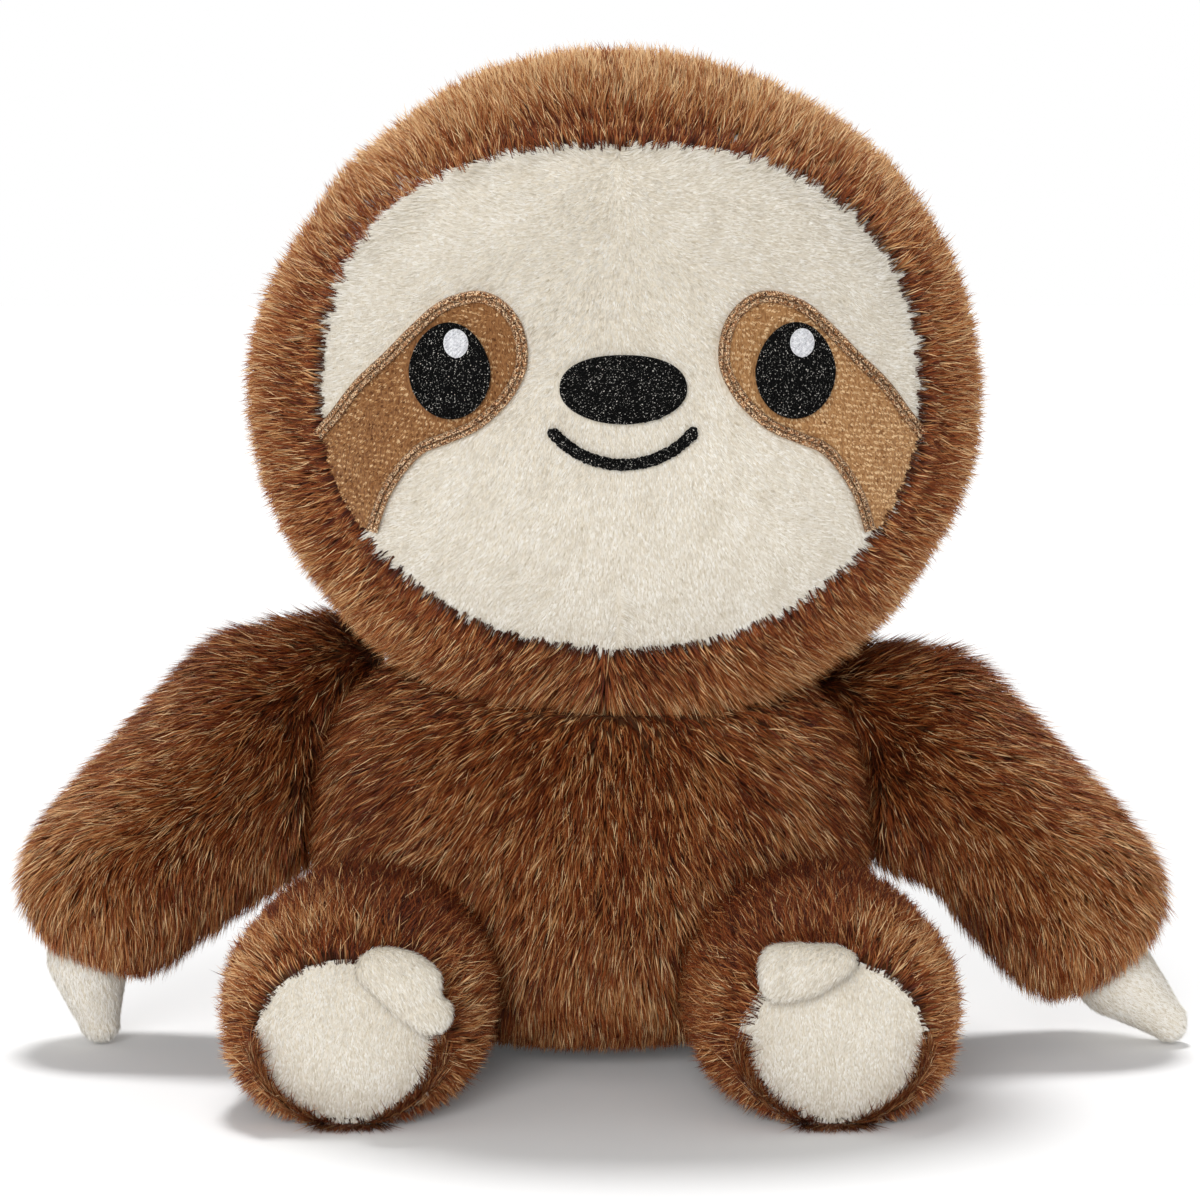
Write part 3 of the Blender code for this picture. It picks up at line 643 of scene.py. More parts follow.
@dataclass(frozen=True)
class PlushFinish(Finish):
    """The dense ground of a short plush: small flecks drawn out level near the top and downwards lower."""

    dark: Colour
    light: Colour
    turn_low: float = 0.185
    turn_high: float = 0.205
    fleck: float = 0.00032
    stretch: float = 3.2
    cloud_scale: float = 120.0
    height: float = 0.0003

    def dress(self, shader: Shader) -> None:
        """Adds the flecks both ways, mixed by the height on the toy, and soft clouds."""
        places = shader.places()
        fine, drawn = 1.0 / self.fleck, 1.0 / (self.fleck * self.stretch)
        level, upright = (
            shader.noise(shader.add("ShaderNodeMapping", None, {"Vector": places, "Scale": scale}), 1.0, 2.0)
            for scale in ((drawn, drawn, fine), (fine, drawn, drawn))
        )
        upper = shader.part(places, "Z").eased(self.turn_low, self.turn_high)
        nap = level * upper + upright * (1.0 - upper)
        share = nap.eased(0.30, 0.62) * 0.8 + shader.noise(places, self.cloud_scale, 2.0) * 0.3
        more = {"Normal": shader.bump(nap * self.height, 0.7), "Sheen Weight": 0.2}
        shader.surface(shader.blend(share, self.dark, self.light), 0.9, more)


@dataclass(frozen=True)
class ThreadFinish(Finish):
    """Embroidery thread: a yarn whose shade drifts a little, with specks of a third colour: painted glints on
    the black and brown threads, darker flecks on the white.
    """

    dark: Colour
    light: Colour
    speck: Colour
    speck_from: float
    roughness: float = 0.5
    shine: float = 0.2
    scales: tuple[float, float, float] = (1400.0, 5200.0, 3000.0)

    def dress(self, shader: Shader) -> None:
        """Adds the drift of shades, the painted glints and flecks, and the yarn's twist."""
        places = shader.places()
        drift, twist, fleck = (
            shader.noise(places, scale, detail) for scale, detail in zip(self.scales, (2.0, 1.0, 1.0))
        )
        colour = shader.blend(drift.eased(0.38, 0.66), self.dark, self.light)
        # Specks: painted glints on the black and brown threads, darker flecks on the white thread.
        colour = shader.blend(fleck.eased(self.speck_from, self.speck_from + 0.06), colour, self.speck)
        more = {"Normal": shader.bump(twist * 0.00005, 0.5), "Specular IOR Level": self.shine}
        shader.surface(colour, twist * 0.25 + (self.roughness - 0.12), more)


@dataclass(frozen=True)
class FloorFinish(Finish):
    """The pale floor: a plain matt white, and to the camera a share of bright white over it."""

    name: str = "floor_white"
    grey: float = 0.94
    strength: float = 1.5
    share: float = 0.03

    def dress(self, shader: Shader) -> None:
        """Adds the matt white and the bright one that only the camera sees."""
        matt = shader.add("ShaderNodeBsdfDiffuse", None, {"Color": (self.grey, self.grey, self.grey, 1.0)})
        white = {"Color": (1.0, 1.0, 1.0, 1.0), "Strength": self.strength}
        white = shader.add("ShaderNodeEmission", None, white)
        seen = shader.add("ShaderNodeLightPath", None, None, "Is Camera Ray")
        shader.output(shader.add("ShaderNodeMixShader", None, {0: seen * self.share, 1: matt, 2: white}))


@dataclass
class Workshop:
    """Makes the pieces: meshes from arrays, with their material, body and replaced nodes."""

    materials: dict[str, bpy.types.Material] = field(default_factory=dict)
    sharp_angle: float = math.radians(55)

    def piece(
        self, name: str, points: Array, faces: Array, finish: Finish, places: Array | None = None
    ) -> bpy.types.Object:
        """A mesh object from arrays.

        Args:
            name: The piece's name.
            points: Points in metres.
            faces: Triangles.
            finish: The finish it gets; each is made once.
            places: For strands, each point's place in the strand map.

        Returns:
            The object, at the origin.
        """
        mesh = bpy.data.meshes.new(name)
        mesh.vertices.add(len(points))
        mesh.vertices.foreach_set("co", points.astype(np.float32).ravel())
        mesh.loops.add(faces.size)
        mesh.loops.foreach_set("vertex_index", faces.astype(np.int32).ravel())
        mesh.polygons.add(len(faces))
        mesh.polygons.foreach_set("loop_start", np.arange(len(faces), dtype=np.int32) * 3)
        mesh.update(calc_edges=True)
        mesh.shade_smooth()
        if places is not None:
            layer = mesh.uv_layers.new(name=STRAND_MAP)
            layer.data.foreach_set("uv", places[faces.ravel()].astype(np.float32).ravel())
        if finish.name not in self.materials:
            self.materials[finish.name] = finish.material()
        mesh.materials.append(self.materials[finish.name])
        piece = bpy.data.objects.new(name, mesh)
        bpy.context.scene.collection.objects.link(piece)
        LOG.info("%s: %d triangles", name, len(faces))
        return piece

    def surface(
        self, name: str, node: str, made: Surface, finish: Finish, body: str, slot: str, padding: float = 0.0
    ) -> None:
        """A closed piece that rides on a body and stands for a node of the frame.

        Args:
            name: The piece's name.
            node: The node that it replaces.
            made: Its mesh.
            finish: Its finish.
            body: The body that it rides on.
            slot: Not used.
        """
        piece = self.piece(name, made.points, made.faces, finish)
        piece.data.set_sharp_from_angle(angle=self.sharp_angle)
        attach(piece, body)
        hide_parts(node)

    def strands(self, name: str, made: Strands, finish: PileFinish, body: str) -> None:
        """A pile that rides on a body."""
        piece = self.piece(name, made.points, made.faces, finish, made.places)
        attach(piece, body)


FUR = PileFinish(
    "fur_strands",
    ((54, 18, 4), (108, 43, 13), (154, 81, 35), (206, 150, 94), (244, 206, 156)),
    (42, 15, 4),
    root_shade_reach=0.70,
    root_shade_depth=0.88,
    roughness=0.6,
    sheen=0.0,
)
CREAM_PLUSH = PileFinish(
    "cream_strands",
    ((190, 177, 152), (222, 213, 197), (241, 235, 223), (254, 251, 245)),
    (204, 195, 176),
    root_shade_reach=0.5,
    root_shade_depth=0.4,
)
TAN_PLUSH = PileFinish(
    "tan_strands",
    ((84, 44, 18), (146, 94, 50), (194, 148, 98), (236, 202, 156)),
    (110, 66, 32),
    root_shade_depth=0.5,
)
FUR_BACKING = BackingFinish("fur_backing", (50, 27, 12), (88, 52, 26))
CREAM_BACKING = PlushFinish("cream_ground", (202, 190, 168), (230, 222, 207))
# Two copies of the tan ground, the left one lighter and the right one darker: painted light and painted shade
# on the two eye patches.
TAN_BACKINGS_LIT_AND_SHADED = (
    PlushFinish("tan_ground_left_painted_light", (122, 78, 40), (180, 134, 86)),
    PlushFinish("tan_ground_right_painted_shade", (100, 58, 28), (150, 104, 62)),
)
FIBRE = BackingFinish("fibre_filling", (205, 205, 200), (238, 238, 234), rib=0.0015, height=0.0006)
# Each thread's third colour is its specks: painted glints on the black and brown, darker flecks on the white.
BLACK_THREAD = ThreadFinish("black_thread", (3, 3, 3), (10, 10, 10), (226, 222, 214), 0.655, 0.7, 0.08)
WHITE_THREAD = ThreadFinish("white_thread", (216, 216, 220), (246, 246, 248), (168, 168, 172), 0.60)
BROWN_THREAD = ThreadFinish("brown_thread", (70, 38, 18), (168, 114, 70), (248, 218, 178), 0.54)

FUR_PILE = Pile(length=0.0090, width=0.00029, density=3.45e6)
HEAD_PILE = replace(FUR_PILE, hang=0.45)
BACK_PILE = Pile(length=0.0090, width=0.00036, density=2.6e6, gather=0.28)
LIMB_PILE = Pile(length=0.0088, width=0.00028, density=4.0e6)
LEG_PILE = replace(LIMB_PILE, length=0.0080, clump_swing=0.34, stray_swing=0.28)
FRINGE = Pile(
    length=0.0105,
    width=0.00025,
    density=1.1e7,
    root_angle=math.radians(16),
    tip_angle=math.radians(2),
    clump_radius=0.0006,
    clump_swing=0.25,
    hang=0.0,
)
NAP = Pile(
    length=0.0017,
    width=0.00025,
    density=9.0e6,
    root_angle=math.radians(26),
    tip_angle=math.radians(14),
    steps=1,
    clump=3,
    clump_radius=0.00022,
    gather=0.2,
    clump_swing=0.13,
    stray_swing=0.10,
    roll=0.5,
    shade_clump=0.17,
    shade_stray=0.10,
    light_part=0.0,
    hang=0.0,
    sink=0.0001,
)
TAN_NAP = Pile(
    length=0.0009,
    width=0.00038,
    density=1.2e7,
    root_angle=math.radians(30),
    tip_angle=math.radians(14),
    steps=1,
    clump=4,
    clump_radius=0.00025,
    gather=0.3,
    clump_swing=0.2,
    stray_swing=0.2,
    roll=0.5,
    shade_clump=0.16,
    shade_stray=0.14,
    light_part=0.1,
    light_rise=0.2,
    hang=0.0,
    sink=0.0001,
)
CLAW_NAP = replace(NAP, length=0.0022, root_angle=0.2, tip_angle=0.1, clump_swing=0.25, shade_clump=0.06)


@dataclass(frozen=True)
class HeadForm:
    """The head's form, as the frame has it: a ball with a half width, two depths and a half height."""

    shift: tuple[float, float, float] = (0.0065, -0.008, 0.166)
    turn: float = math.radians(1.0)
    half_width: float = 0.0895
    half_height: float = 0.0835
    front: float = 0.066
    back: float = 0.070
    face_half_width: float = 0.071
    face_half_height: float = 0.0596
    face_rise: float = 0.001
    upper_power: float = 2.4
    lower_power: float = 2.07
    recess: float = 0.002
    gap: float = 0.0003

    @property
    def face_half(self) -> Array:
        """The face's half width and half height."""
        return np.array([self.face_half_width, self.face_half_height])

    def world(self, places: Array) -> Array:
        """From the head's own frame to the object's: turned about Z and moved to the neck."""
        cosine, sine = math.cos(self.turn), math.sin(self.turn)
        matrix = np.array([[cosine, -sine, 0.0], [sine, cosine, 0.0], [0.0, 0.0, 1.0]])
        return places @ matrix.T + np.array(self.shift)

    def local(self, places: Array) -> Array:
        """From the object's frame to the head's own, without the small turn."""
        return places - np.array(self.shift)

    def sizes(self, lift: Any) -> tuple[Any, Any, Any, Any]:
        """Half width, front depth, back depth and half height, lifted off the form."""
        return (self.half_width + lift, self.front + lift, self.back + lift, self.half_height + lift)

    def on_face(self, flat: Array, lift: Array | float) -> Array:
        """Flat places on the face as points: y by the ball's formula, lifted, less the recess."""
        x, z = flat[..., 0], flat[..., 1]
        lift = lift - self.recess
        wide, deep, high = self.half_width + lift, self.front + lift, self.half_height + lift
        y = -deep * np.sqrt(np.clip(1.0 - (x / wide) ** 2 - (z / high) ** 2, 0.0, 1.0))
        return self.world(stacked(x, y, z))

    def from_face(self, places: Array) -> Array:
        """How far places lie from the face's middle, as a share of its half sizes; 2 in the back half."""
        local = self.local(places)
        return np.where(local[:, 1] < 0, np.linalg.norm(local[:, [0, 2]] / self.face_half, axis=1), 2.0)

    def outline(self, angle: Array, room: float = 0.0) -> tuple[Array, Array]:
        """The hood's opening: a superellipse, squarer above than below."""
        up_wide, up_high = power_wave(angle, self.upper_power)
        low_wide, low_high = power_wave(angle, self.lower_power)
        upper = np.sin(angle) > 0
        x = (self.face_half_width + room) * np.where(upper, up_wide, low_wide)
        z = self.face_rise + (self.face_half_height + room) * np.where(upper, up_high, low_high)
        return x, z

    def hood(self, angles: Array, rows: int, lift: float, rim_lift: float, room: float) -> Array:
        """From the opening to the middle of the back: arcs on the unit ball, then scaled to the sizes.

        Args:
            angles: Where round the opening.
            rows: Rows from the opening to the back, closer together near the opening.
            lift: The hood's lift off the form.
            rim_lift: The lift at the opening, where the hood is sewn to the face.
            room: How much wider than the face the opening is.

        Returns:
            The grid, rows by angles by 3.
        """
        wide, front, back, high = self.sizes(rim_lift)
        x, z = self.outline(angles, room)
        start = stacked(x / wide, -np.sqrt(1.0 - (x / wide) ** 2 - (z / high) ** 2), z / high)
        pole = np.array([0.0, 1.0, 0.0])
        arc = np.arccos(start @ pole)[None, :, None]
        t = (np.linspace(0.0, 1.0, rows) ** 1.5)[:, None, None]
        turned = (np.sin((1.0 - t) * arc) * start[None] + np.sin(t * arc) * pole) / np.sin(arc)
        wide, front, back, high = self.sizes(rim_lift + (lift - rim_lift) * ease(t[..., 0], 0.0, 0.055))
        depth = np.where(turned[..., 1] > 0, back, front)
        return stacked(turned[..., 0] * wide, turned[..., 1] * depth, turned[..., 2] * high)

    def ball(self, lift: float, rows: int, columns: int) -> Array:
        """The whole form as rings about Z."""
        wide, front, back, high = self.sizes(lift)
        tilt = np.linspace(-math.pi / 2, math.pi / 2, rows)[1:-1, None]
        turn = around(columns)
        depth = np.where(np.sin(turn) > 0, back, front)
        x = wide * np.cos(tilt) * np.cos(turn)
        return stacked(x, depth * np.cos(tilt) * np.sin(turn), high * np.sin(tilt))

    def depth_in(self, places: Array, room: float) -> Array:
        """How far inside the form, grown by some room, places are: 1 at its middle, below 0 outside."""
        local = self.local(places)
        depth = np.where(local[..., 1] > 0, self.back, self.front) + room
        sizes = stacked(self.half_width + room, depth, self.half_height + room)
        return 1.0 - np.linalg.norm(local / sizes, axis=-1)


@dataclass(frozen=True)
class LimbForm:
    """A limb's own frame: its joint's place, and a right limb as the mirror image of a left one."""

    side: Side

    @property
    def place(self) -> Array:
        """The joint's middle in the object's frame."""
        raise NotImplementedError

    def local(self, places: Array) -> Array:
        """From the object's frame to the left limb's own."""
        return (places - self.place) * self.side.mirror

    def world(self, points: Array) -> Array:
        """From the left limb's own frame to the object's."""
        return points * self.side.mirror + self.place


@dataclass(frozen=True)
class LegForm(LimbForm):
    """A leg's form: rings in front of the hip, each a share of the length, half width and half height."""

    hip: tuple[float, float, float] = (0.0525, -0.033, 0.027)
    length: float = 0.0535
    half_width: float = 0.0325
    half_height: float = 0.0275
    splay: float = 0.0048
    open_angle: float = math.radians(35)
    root_angle: float = math.radians(88)
    ring_shares: tuple[tuple[float, float, float], ...] = (
        (0.36, 0.975, 0.98), (0.52, 1.005, 1.0), (0.70, 0.985, 0.975), (0.86, 0.90, 0.90),
        (0.95, 0.795, 0.81),
    )
    sole_half_width: float = 0.0205
    sole_half_height: float = 0.0190
    sole_rim: float = 0.0015
    sole_dome: float = 0.0030
    sole_thickness: float = 0.0035
    gap: float = 0.0003
    lower_power: float = 3.1

    @property
    def place(self) -> Array:
        """The hip's middle in the object's frame."""
        return np.array(self.hip) * self.side.mirror

    @property
    def sole_rise(self) -> float:
        """The sole's middle above the hip's."""
        return self.sole_half_height + self.gap + self.sole_rim - self.half_height

    @property
    def sole_middle(self) -> Array:
        """The sole's middle from the hip, before the leg is mirrored."""
        return np.array([self.splay, -self.length, self.sole_rise])

    def grid(self, inset: float, sides: int, end: float, room: float) -> Array:
        """Rings from the hip's ball to the sole's opening, in the object's frame.

        The ball's rings go by sine and cosine of an angle. Then come the leg's own rings, a smooth line
        through the shares, and last the opening at the distance end. The underside lies on the floor, so
        there the rings are superellipses.

        Args:
            inset: How far inside the frame's form.
            sides: Points round a ring.
            end: Distance of the last ring from the hip.
            room: Room round the sole.

        Returns:
            The rings.
        """
        angle = np.linspace(self.open_angle, self.root_angle, 9)
        high = (self.half_height - inset) * np.sin(angle)
        far = -(self.half_height - inset) * np.cos(angle)
        root = stacked(far, (self.half_width - inset) * np.sin(angle), high, 0.0)
        outside = np.array(self.ring_shares) * (self.length, self.half_width, self.half_height)
        opening = np.array([self.sole_half_width, self.sole_half_height]) + self.gap + room
        size = np.maximum(outside[:, 1:] - inset, opening)
        rings = np.concatenate([outside[:, :1], size, outside[:, 2:] - self.half_height], axis=1)
        rings = smooth_line(np.concatenate([root[-1:], rings]), 22)[1:]
        reached = np.minimum(rings[:, :1], end - 0.0008)
        last = np.array([[end, *opening, self.sole_rise]])
        rows = np.concatenate([root, np.concatenate([reached, rings[:, 1:]], axis=1), last])
        far, wide, high, rise = (rows[:, k : k + 1] for k in range(4))
        turn = around(sides)
        splay = self.splay * (far / self.length).clip(0.0)
        flat = ease(far, 0.0, 0.014) * ease(end - far, 0.0, 0.007) * (np.sin(turn) < 0)
        cosine, sine = power_wave(turn, 2.0 + (self.lower_power - 2.0) * flat)
        z = np.maximum(rise + high * sine, 0.0005 + inset * 0.2 - self.half_height)
        return self.world(stacked(splay + wide * cosine, -far, z))

    def from_sole(self, places: Array) -> Array:
        """How far places lie from the sole's middle, as a share of its half sizes."""
        flat = self.local(places)[:, [0, 2]] - (self.splay, self.sole_rise)
        return np.linalg.norm(flat / (self.sole_half_width, self.sole_half_height), axis=1)

    def holds(self, places: Array, room: float) -> Array:
        """Which places lie in the leg, grown by some room: an oval tube in front of the hip's ball."""
        local = self.local(places)
        far = np.where(local[..., 1] > 0, local[..., 1] / (self.half_height + room), 0.0)
        x = (local[..., 0] - 0.5 * self.splay) / (self.half_width + room)
        z = local[..., 2] / (self.half_height + room)
        return (x**2 + z**2 + far**2 < 1.0) & (local[..., 1] > -self.length)


@dataclass(frozen=True)
class ArmForm(LimbForm):
    """An arm's form: a ball in the body, then rings along a curved line from the shoulder."""

    shoulder_x: float = 0.060
    shoulder_y: float = 0.019
    shoulder_z: tuple[float, float] = (0.0858, 0.0932)
    ball: float = 0.015
    reach: float = 0.0595
    drop: float = 0.0500
    forward: float = 0.010
    radius: float = 0.0243
    line_shares: tuple[tuple[float, float, float], ...] = (
        (0.20, 0.06, 0.78), (0.39, 0.21, 0.955), (0.65, 0.53, 0.985), (0.87, 0.83, 1.01), (1.0, 1.0, 1.0),
    )
    cap_shares: tuple[float, float] = (1.0, 1.09)
    side_gap: float = 0.0010
    swell_left: tuple[float, float] = (0.0028, 0.0006)
    swell_right: tuple[float, float] = (-0.0006, 0.0046)
    web_left: tuple[float, float, float] = (0.0190, 0.021, 0.044)
    web_right: tuple[float, float, float] = (0.0172, 0.026, 0.062)

    @property
    def place(self) -> Array:
        """The shoulder's middle in the object's frame."""
        middle = np.array([self.shoulder_x, self.shoulder_y, self.side.pick(self.shoulder_z)])
        return middle * self.side.mirror

    def line(self, count: int) -> Array:
        """The middle line from the shoulder with the radius at each point, before it is mirrored."""
        size = np.array([self.reach, -self.forward, -self.drop, self.radius])
        known = [(reach, reach, drop, wide) for reach, drop, wide in self.line_shares]
        return smooth_line(np.array(known) * size, count)

    def grid(self, inset: float, sides: int, side_at: Callable[[Array, Array], Array]) -> Array:
        """Rings of the arm in the object's frame: part of the shoulder's ball, the sleeve, and a round end.

        Args:
            inset: How far inside the frame's form.
            sides: Points round a ring.
            side_at: The body's half width at a depth and a height, which the sleeve stays clear of.

        Returns:
            The rings.
        """
        turn = around(sides)
        angle = np.linspace(math.radians(40), math.radians(85), 6)[:, None]
        radius = self.ball - inset
        root = radius * stacked(-np.cos(angle), np.sin(angle) * np.cos(turn), np.sin(angle) * np.sin(turn))
        line = self.line(26)
        near = line[:1] * np.array([[1.0, 1.0, 1.0, 0.94]]) + [[-0.0105, 0.0012, 0.0015, 0.0]]
        line = np.concatenate([near, (near + line[:1]) / 2.0, line])
        along = unit(np.gradient(line[:, :3], axis=0))
        across = np.array([0.0, 1.0, 0.0])
        up = np.cross(along, across)
        up *= np.sign(up[:, 2:3])
        reach = line[:, 3:4] - inset
        cap = np.linspace(0.0, math.pi / 2, 10)[1:, None]
        end = line[-1, :3] + along[-1] * reach[-1] * self.side.pick(self.cap_shares) * np.sin(cap)
        centres = np.concatenate([line[:, :3], end])
        reaches = np.concatenate([reach, reach[-1] * np.maximum(np.cos(cap), 0.02)])
        ups = np.concatenate([up, np.repeat(up[-1:], len(cap), axis=0)])
        ring = np.cos(turn)[None, :, None] * across + np.sin(turn)[None, :, None] * ups[:, None]
        sleeve = centres[:, None] + reaches[:, None] * ring
        above, below = self.side.pick((self.swell_left, self.swell_right))
        web, full, none = self.side.pick((self.web_left, self.web_right))
        near = 1.0 - ease(centres[:, 0], full, none)
        begun = ease(np.arange(len(centres)), 0.0, 4.0) * reaches[:, 0] / self.radius
        high, low = above * begun, (below + web * near) * begun
        swell = high[:, None] * np.sin(turn).clip(0.0) ** 1.5
        swell = swell - low[:, None] * (-np.sin(turn)).clip(0.0) ** 1.5
        sleeve = sleeve + swell[..., None] * ups[:, None]
        place = self.place * self.side.mirror
        side = side_at(sleeve[..., 1] + place[1], sleeve[..., 2] + place[2]) + self.side_gap
        sleeve[..., 0] = np.maximum(sleeve[..., 0], side + 0.3 * inset - place[0])
        return self.world(np.concatenate([root, sleeve]))

    def along(self, places: Array) -> tuple[Array, Array]:
        """How far along the arm places are, 0 to 1, and how far they stand above its middle line, -1 to 1."""
        local = self.local(places)
        line = self.line(40)[:, :3]
        nearest = np.argmin(np.sum((local[:, None] - line[None]) ** 2, axis=-1), axis=1)
        tangent = unit(np.gradient(line, axis=0))[nearest]
        over = np.cross(tangent, [0.0, 1.0, 0.0])
        over *= np.sign(over[:, 2:3])
        beyond = dot(local - line[-1], tangent)[:, 0] / self.radius
        share = nearest / 39.0 + np.where(nearest == 39, beyond.clip(0.0) * 0.25, 0.0)
        return share, dot(local - line[nearest], over)[:, 0] / self.radius


@dataclass(frozen=True)
class BodyForm:
    """The body's form: ellipses that swell to the waist, flat on the floor, dented by head and limbs."""

    half_width: float = 0.0705
    front: float = 0.056
    back: float = 0.046
    seam_y: float = 0.006
    waist_z: float = 0.048
    top_z: float = 0.118
    lower_power: float = 2.5
    upper_power: float = 2.4
    head: HeadForm = HeadForm()

    def grid(self, inset: float, rows: int, turns: Array) -> Array:
        """Rings from the middle of the base to the middle of the top.

        Width and height go by a superellipse's cosine and sine, with one power below the waist and one above.
        """
        below, above = np.linspace(-1.25, 0.0, rows // 2), np.linspace(0.0, math.pi / 2, rows)[1:]
        tilt = np.concatenate([[-math.pi / 2], below, above])
        low_wide, low_high = power_wave(tilt, self.lower_power)
        up_wide, up_high = power_wave(tilt, self.upper_power)
        wide = np.where(tilt < 0, low_wide, up_wide)[:, None]
        upper = self.top_z - self.waist_z - inset
        high = np.where(tilt < 0, low_high * (self.waist_z - inset), up_high * upper)
        turn = turns[None, :]
        depth = np.where(np.sin(turn) > 0, self.back, self.front) - inset
        x = (self.half_width - inset) * wide * np.cos(turn)
        y = self.seam_y + depth * wide * np.sin(turn)
        z = np.maximum(self.waist_z + high, 0.3 * inset)[:, None]
        return stacked(x, y, z)

    def side_at(self, y: Array, z: Array) -> Array:
        """Half the width at a depth and a height: the superellipse's width there, by the ellipse's share."""
        lower, upper = (self.waist_z - z) / self.waist_z, (z - self.waist_z) / (self.top_z - self.waist_z)
        power = np.where(lower > 0, self.lower_power, self.upper_power)
        wide = (1.0 - np.clip(np.maximum(lower, upper), 0.0, 0.999) ** power) ** (1.0 / power)
        deep = np.where(y > self.seam_y, self.back, self.front) * wide
        return self.half_width * wide * np.sqrt(np.clip(1.0 - ((y - self.seam_y) / deep) ** 2, 0.0, 1.0))

    def dented(self, points: Array, room: float) -> Array:
        """The same points pressed down by the head and back by the legs' balls and the shoulders' balls."""
        points = points.copy()
        local = self.head.local(points)
        across = 1.0 - (local[..., 0] / (self.head.half_width + room)) ** 2
        across = across - (local[..., 1] / (self.head.back + room)) ** 2
        seat = self.head.shift[2] - (self.head.half_height + room) * np.sqrt(across.clip(0.0))
        points[..., 2] = np.where(across > 0, np.minimum(points[..., 2], seat), points[..., 2])
        for side in Side:
            leg, arm = LegForm(side), ArmForm(side)
            local = leg.local(points)
            round_it = 1.0 - (local[..., 0] / (leg.half_width + room)) ** 2
            round_it = round_it - (local[..., 2] / (leg.half_height + room)) ** 2
            behind = leg.hip[1] + (leg.half_height + room) * np.sqrt(round_it.clip(0.0))
            pressed = (round_it > 0) & (points[..., 1] < behind)
            points[..., 1] = np.where(pressed, behind, points[..., 1])
            local = arm.local(points)
            ball = (arm.ball + room) ** 2 - local[..., 1] ** 2 - local[..., 2] ** 2
            inner = arm.shoulder_x - np.sqrt(ball.clip(0.0))
            out = (ball > 0) & (points[..., 0] * side.value > inner)
            points[..., 0] = np.where(out, inner * side.value, points[..., 0])
        return points


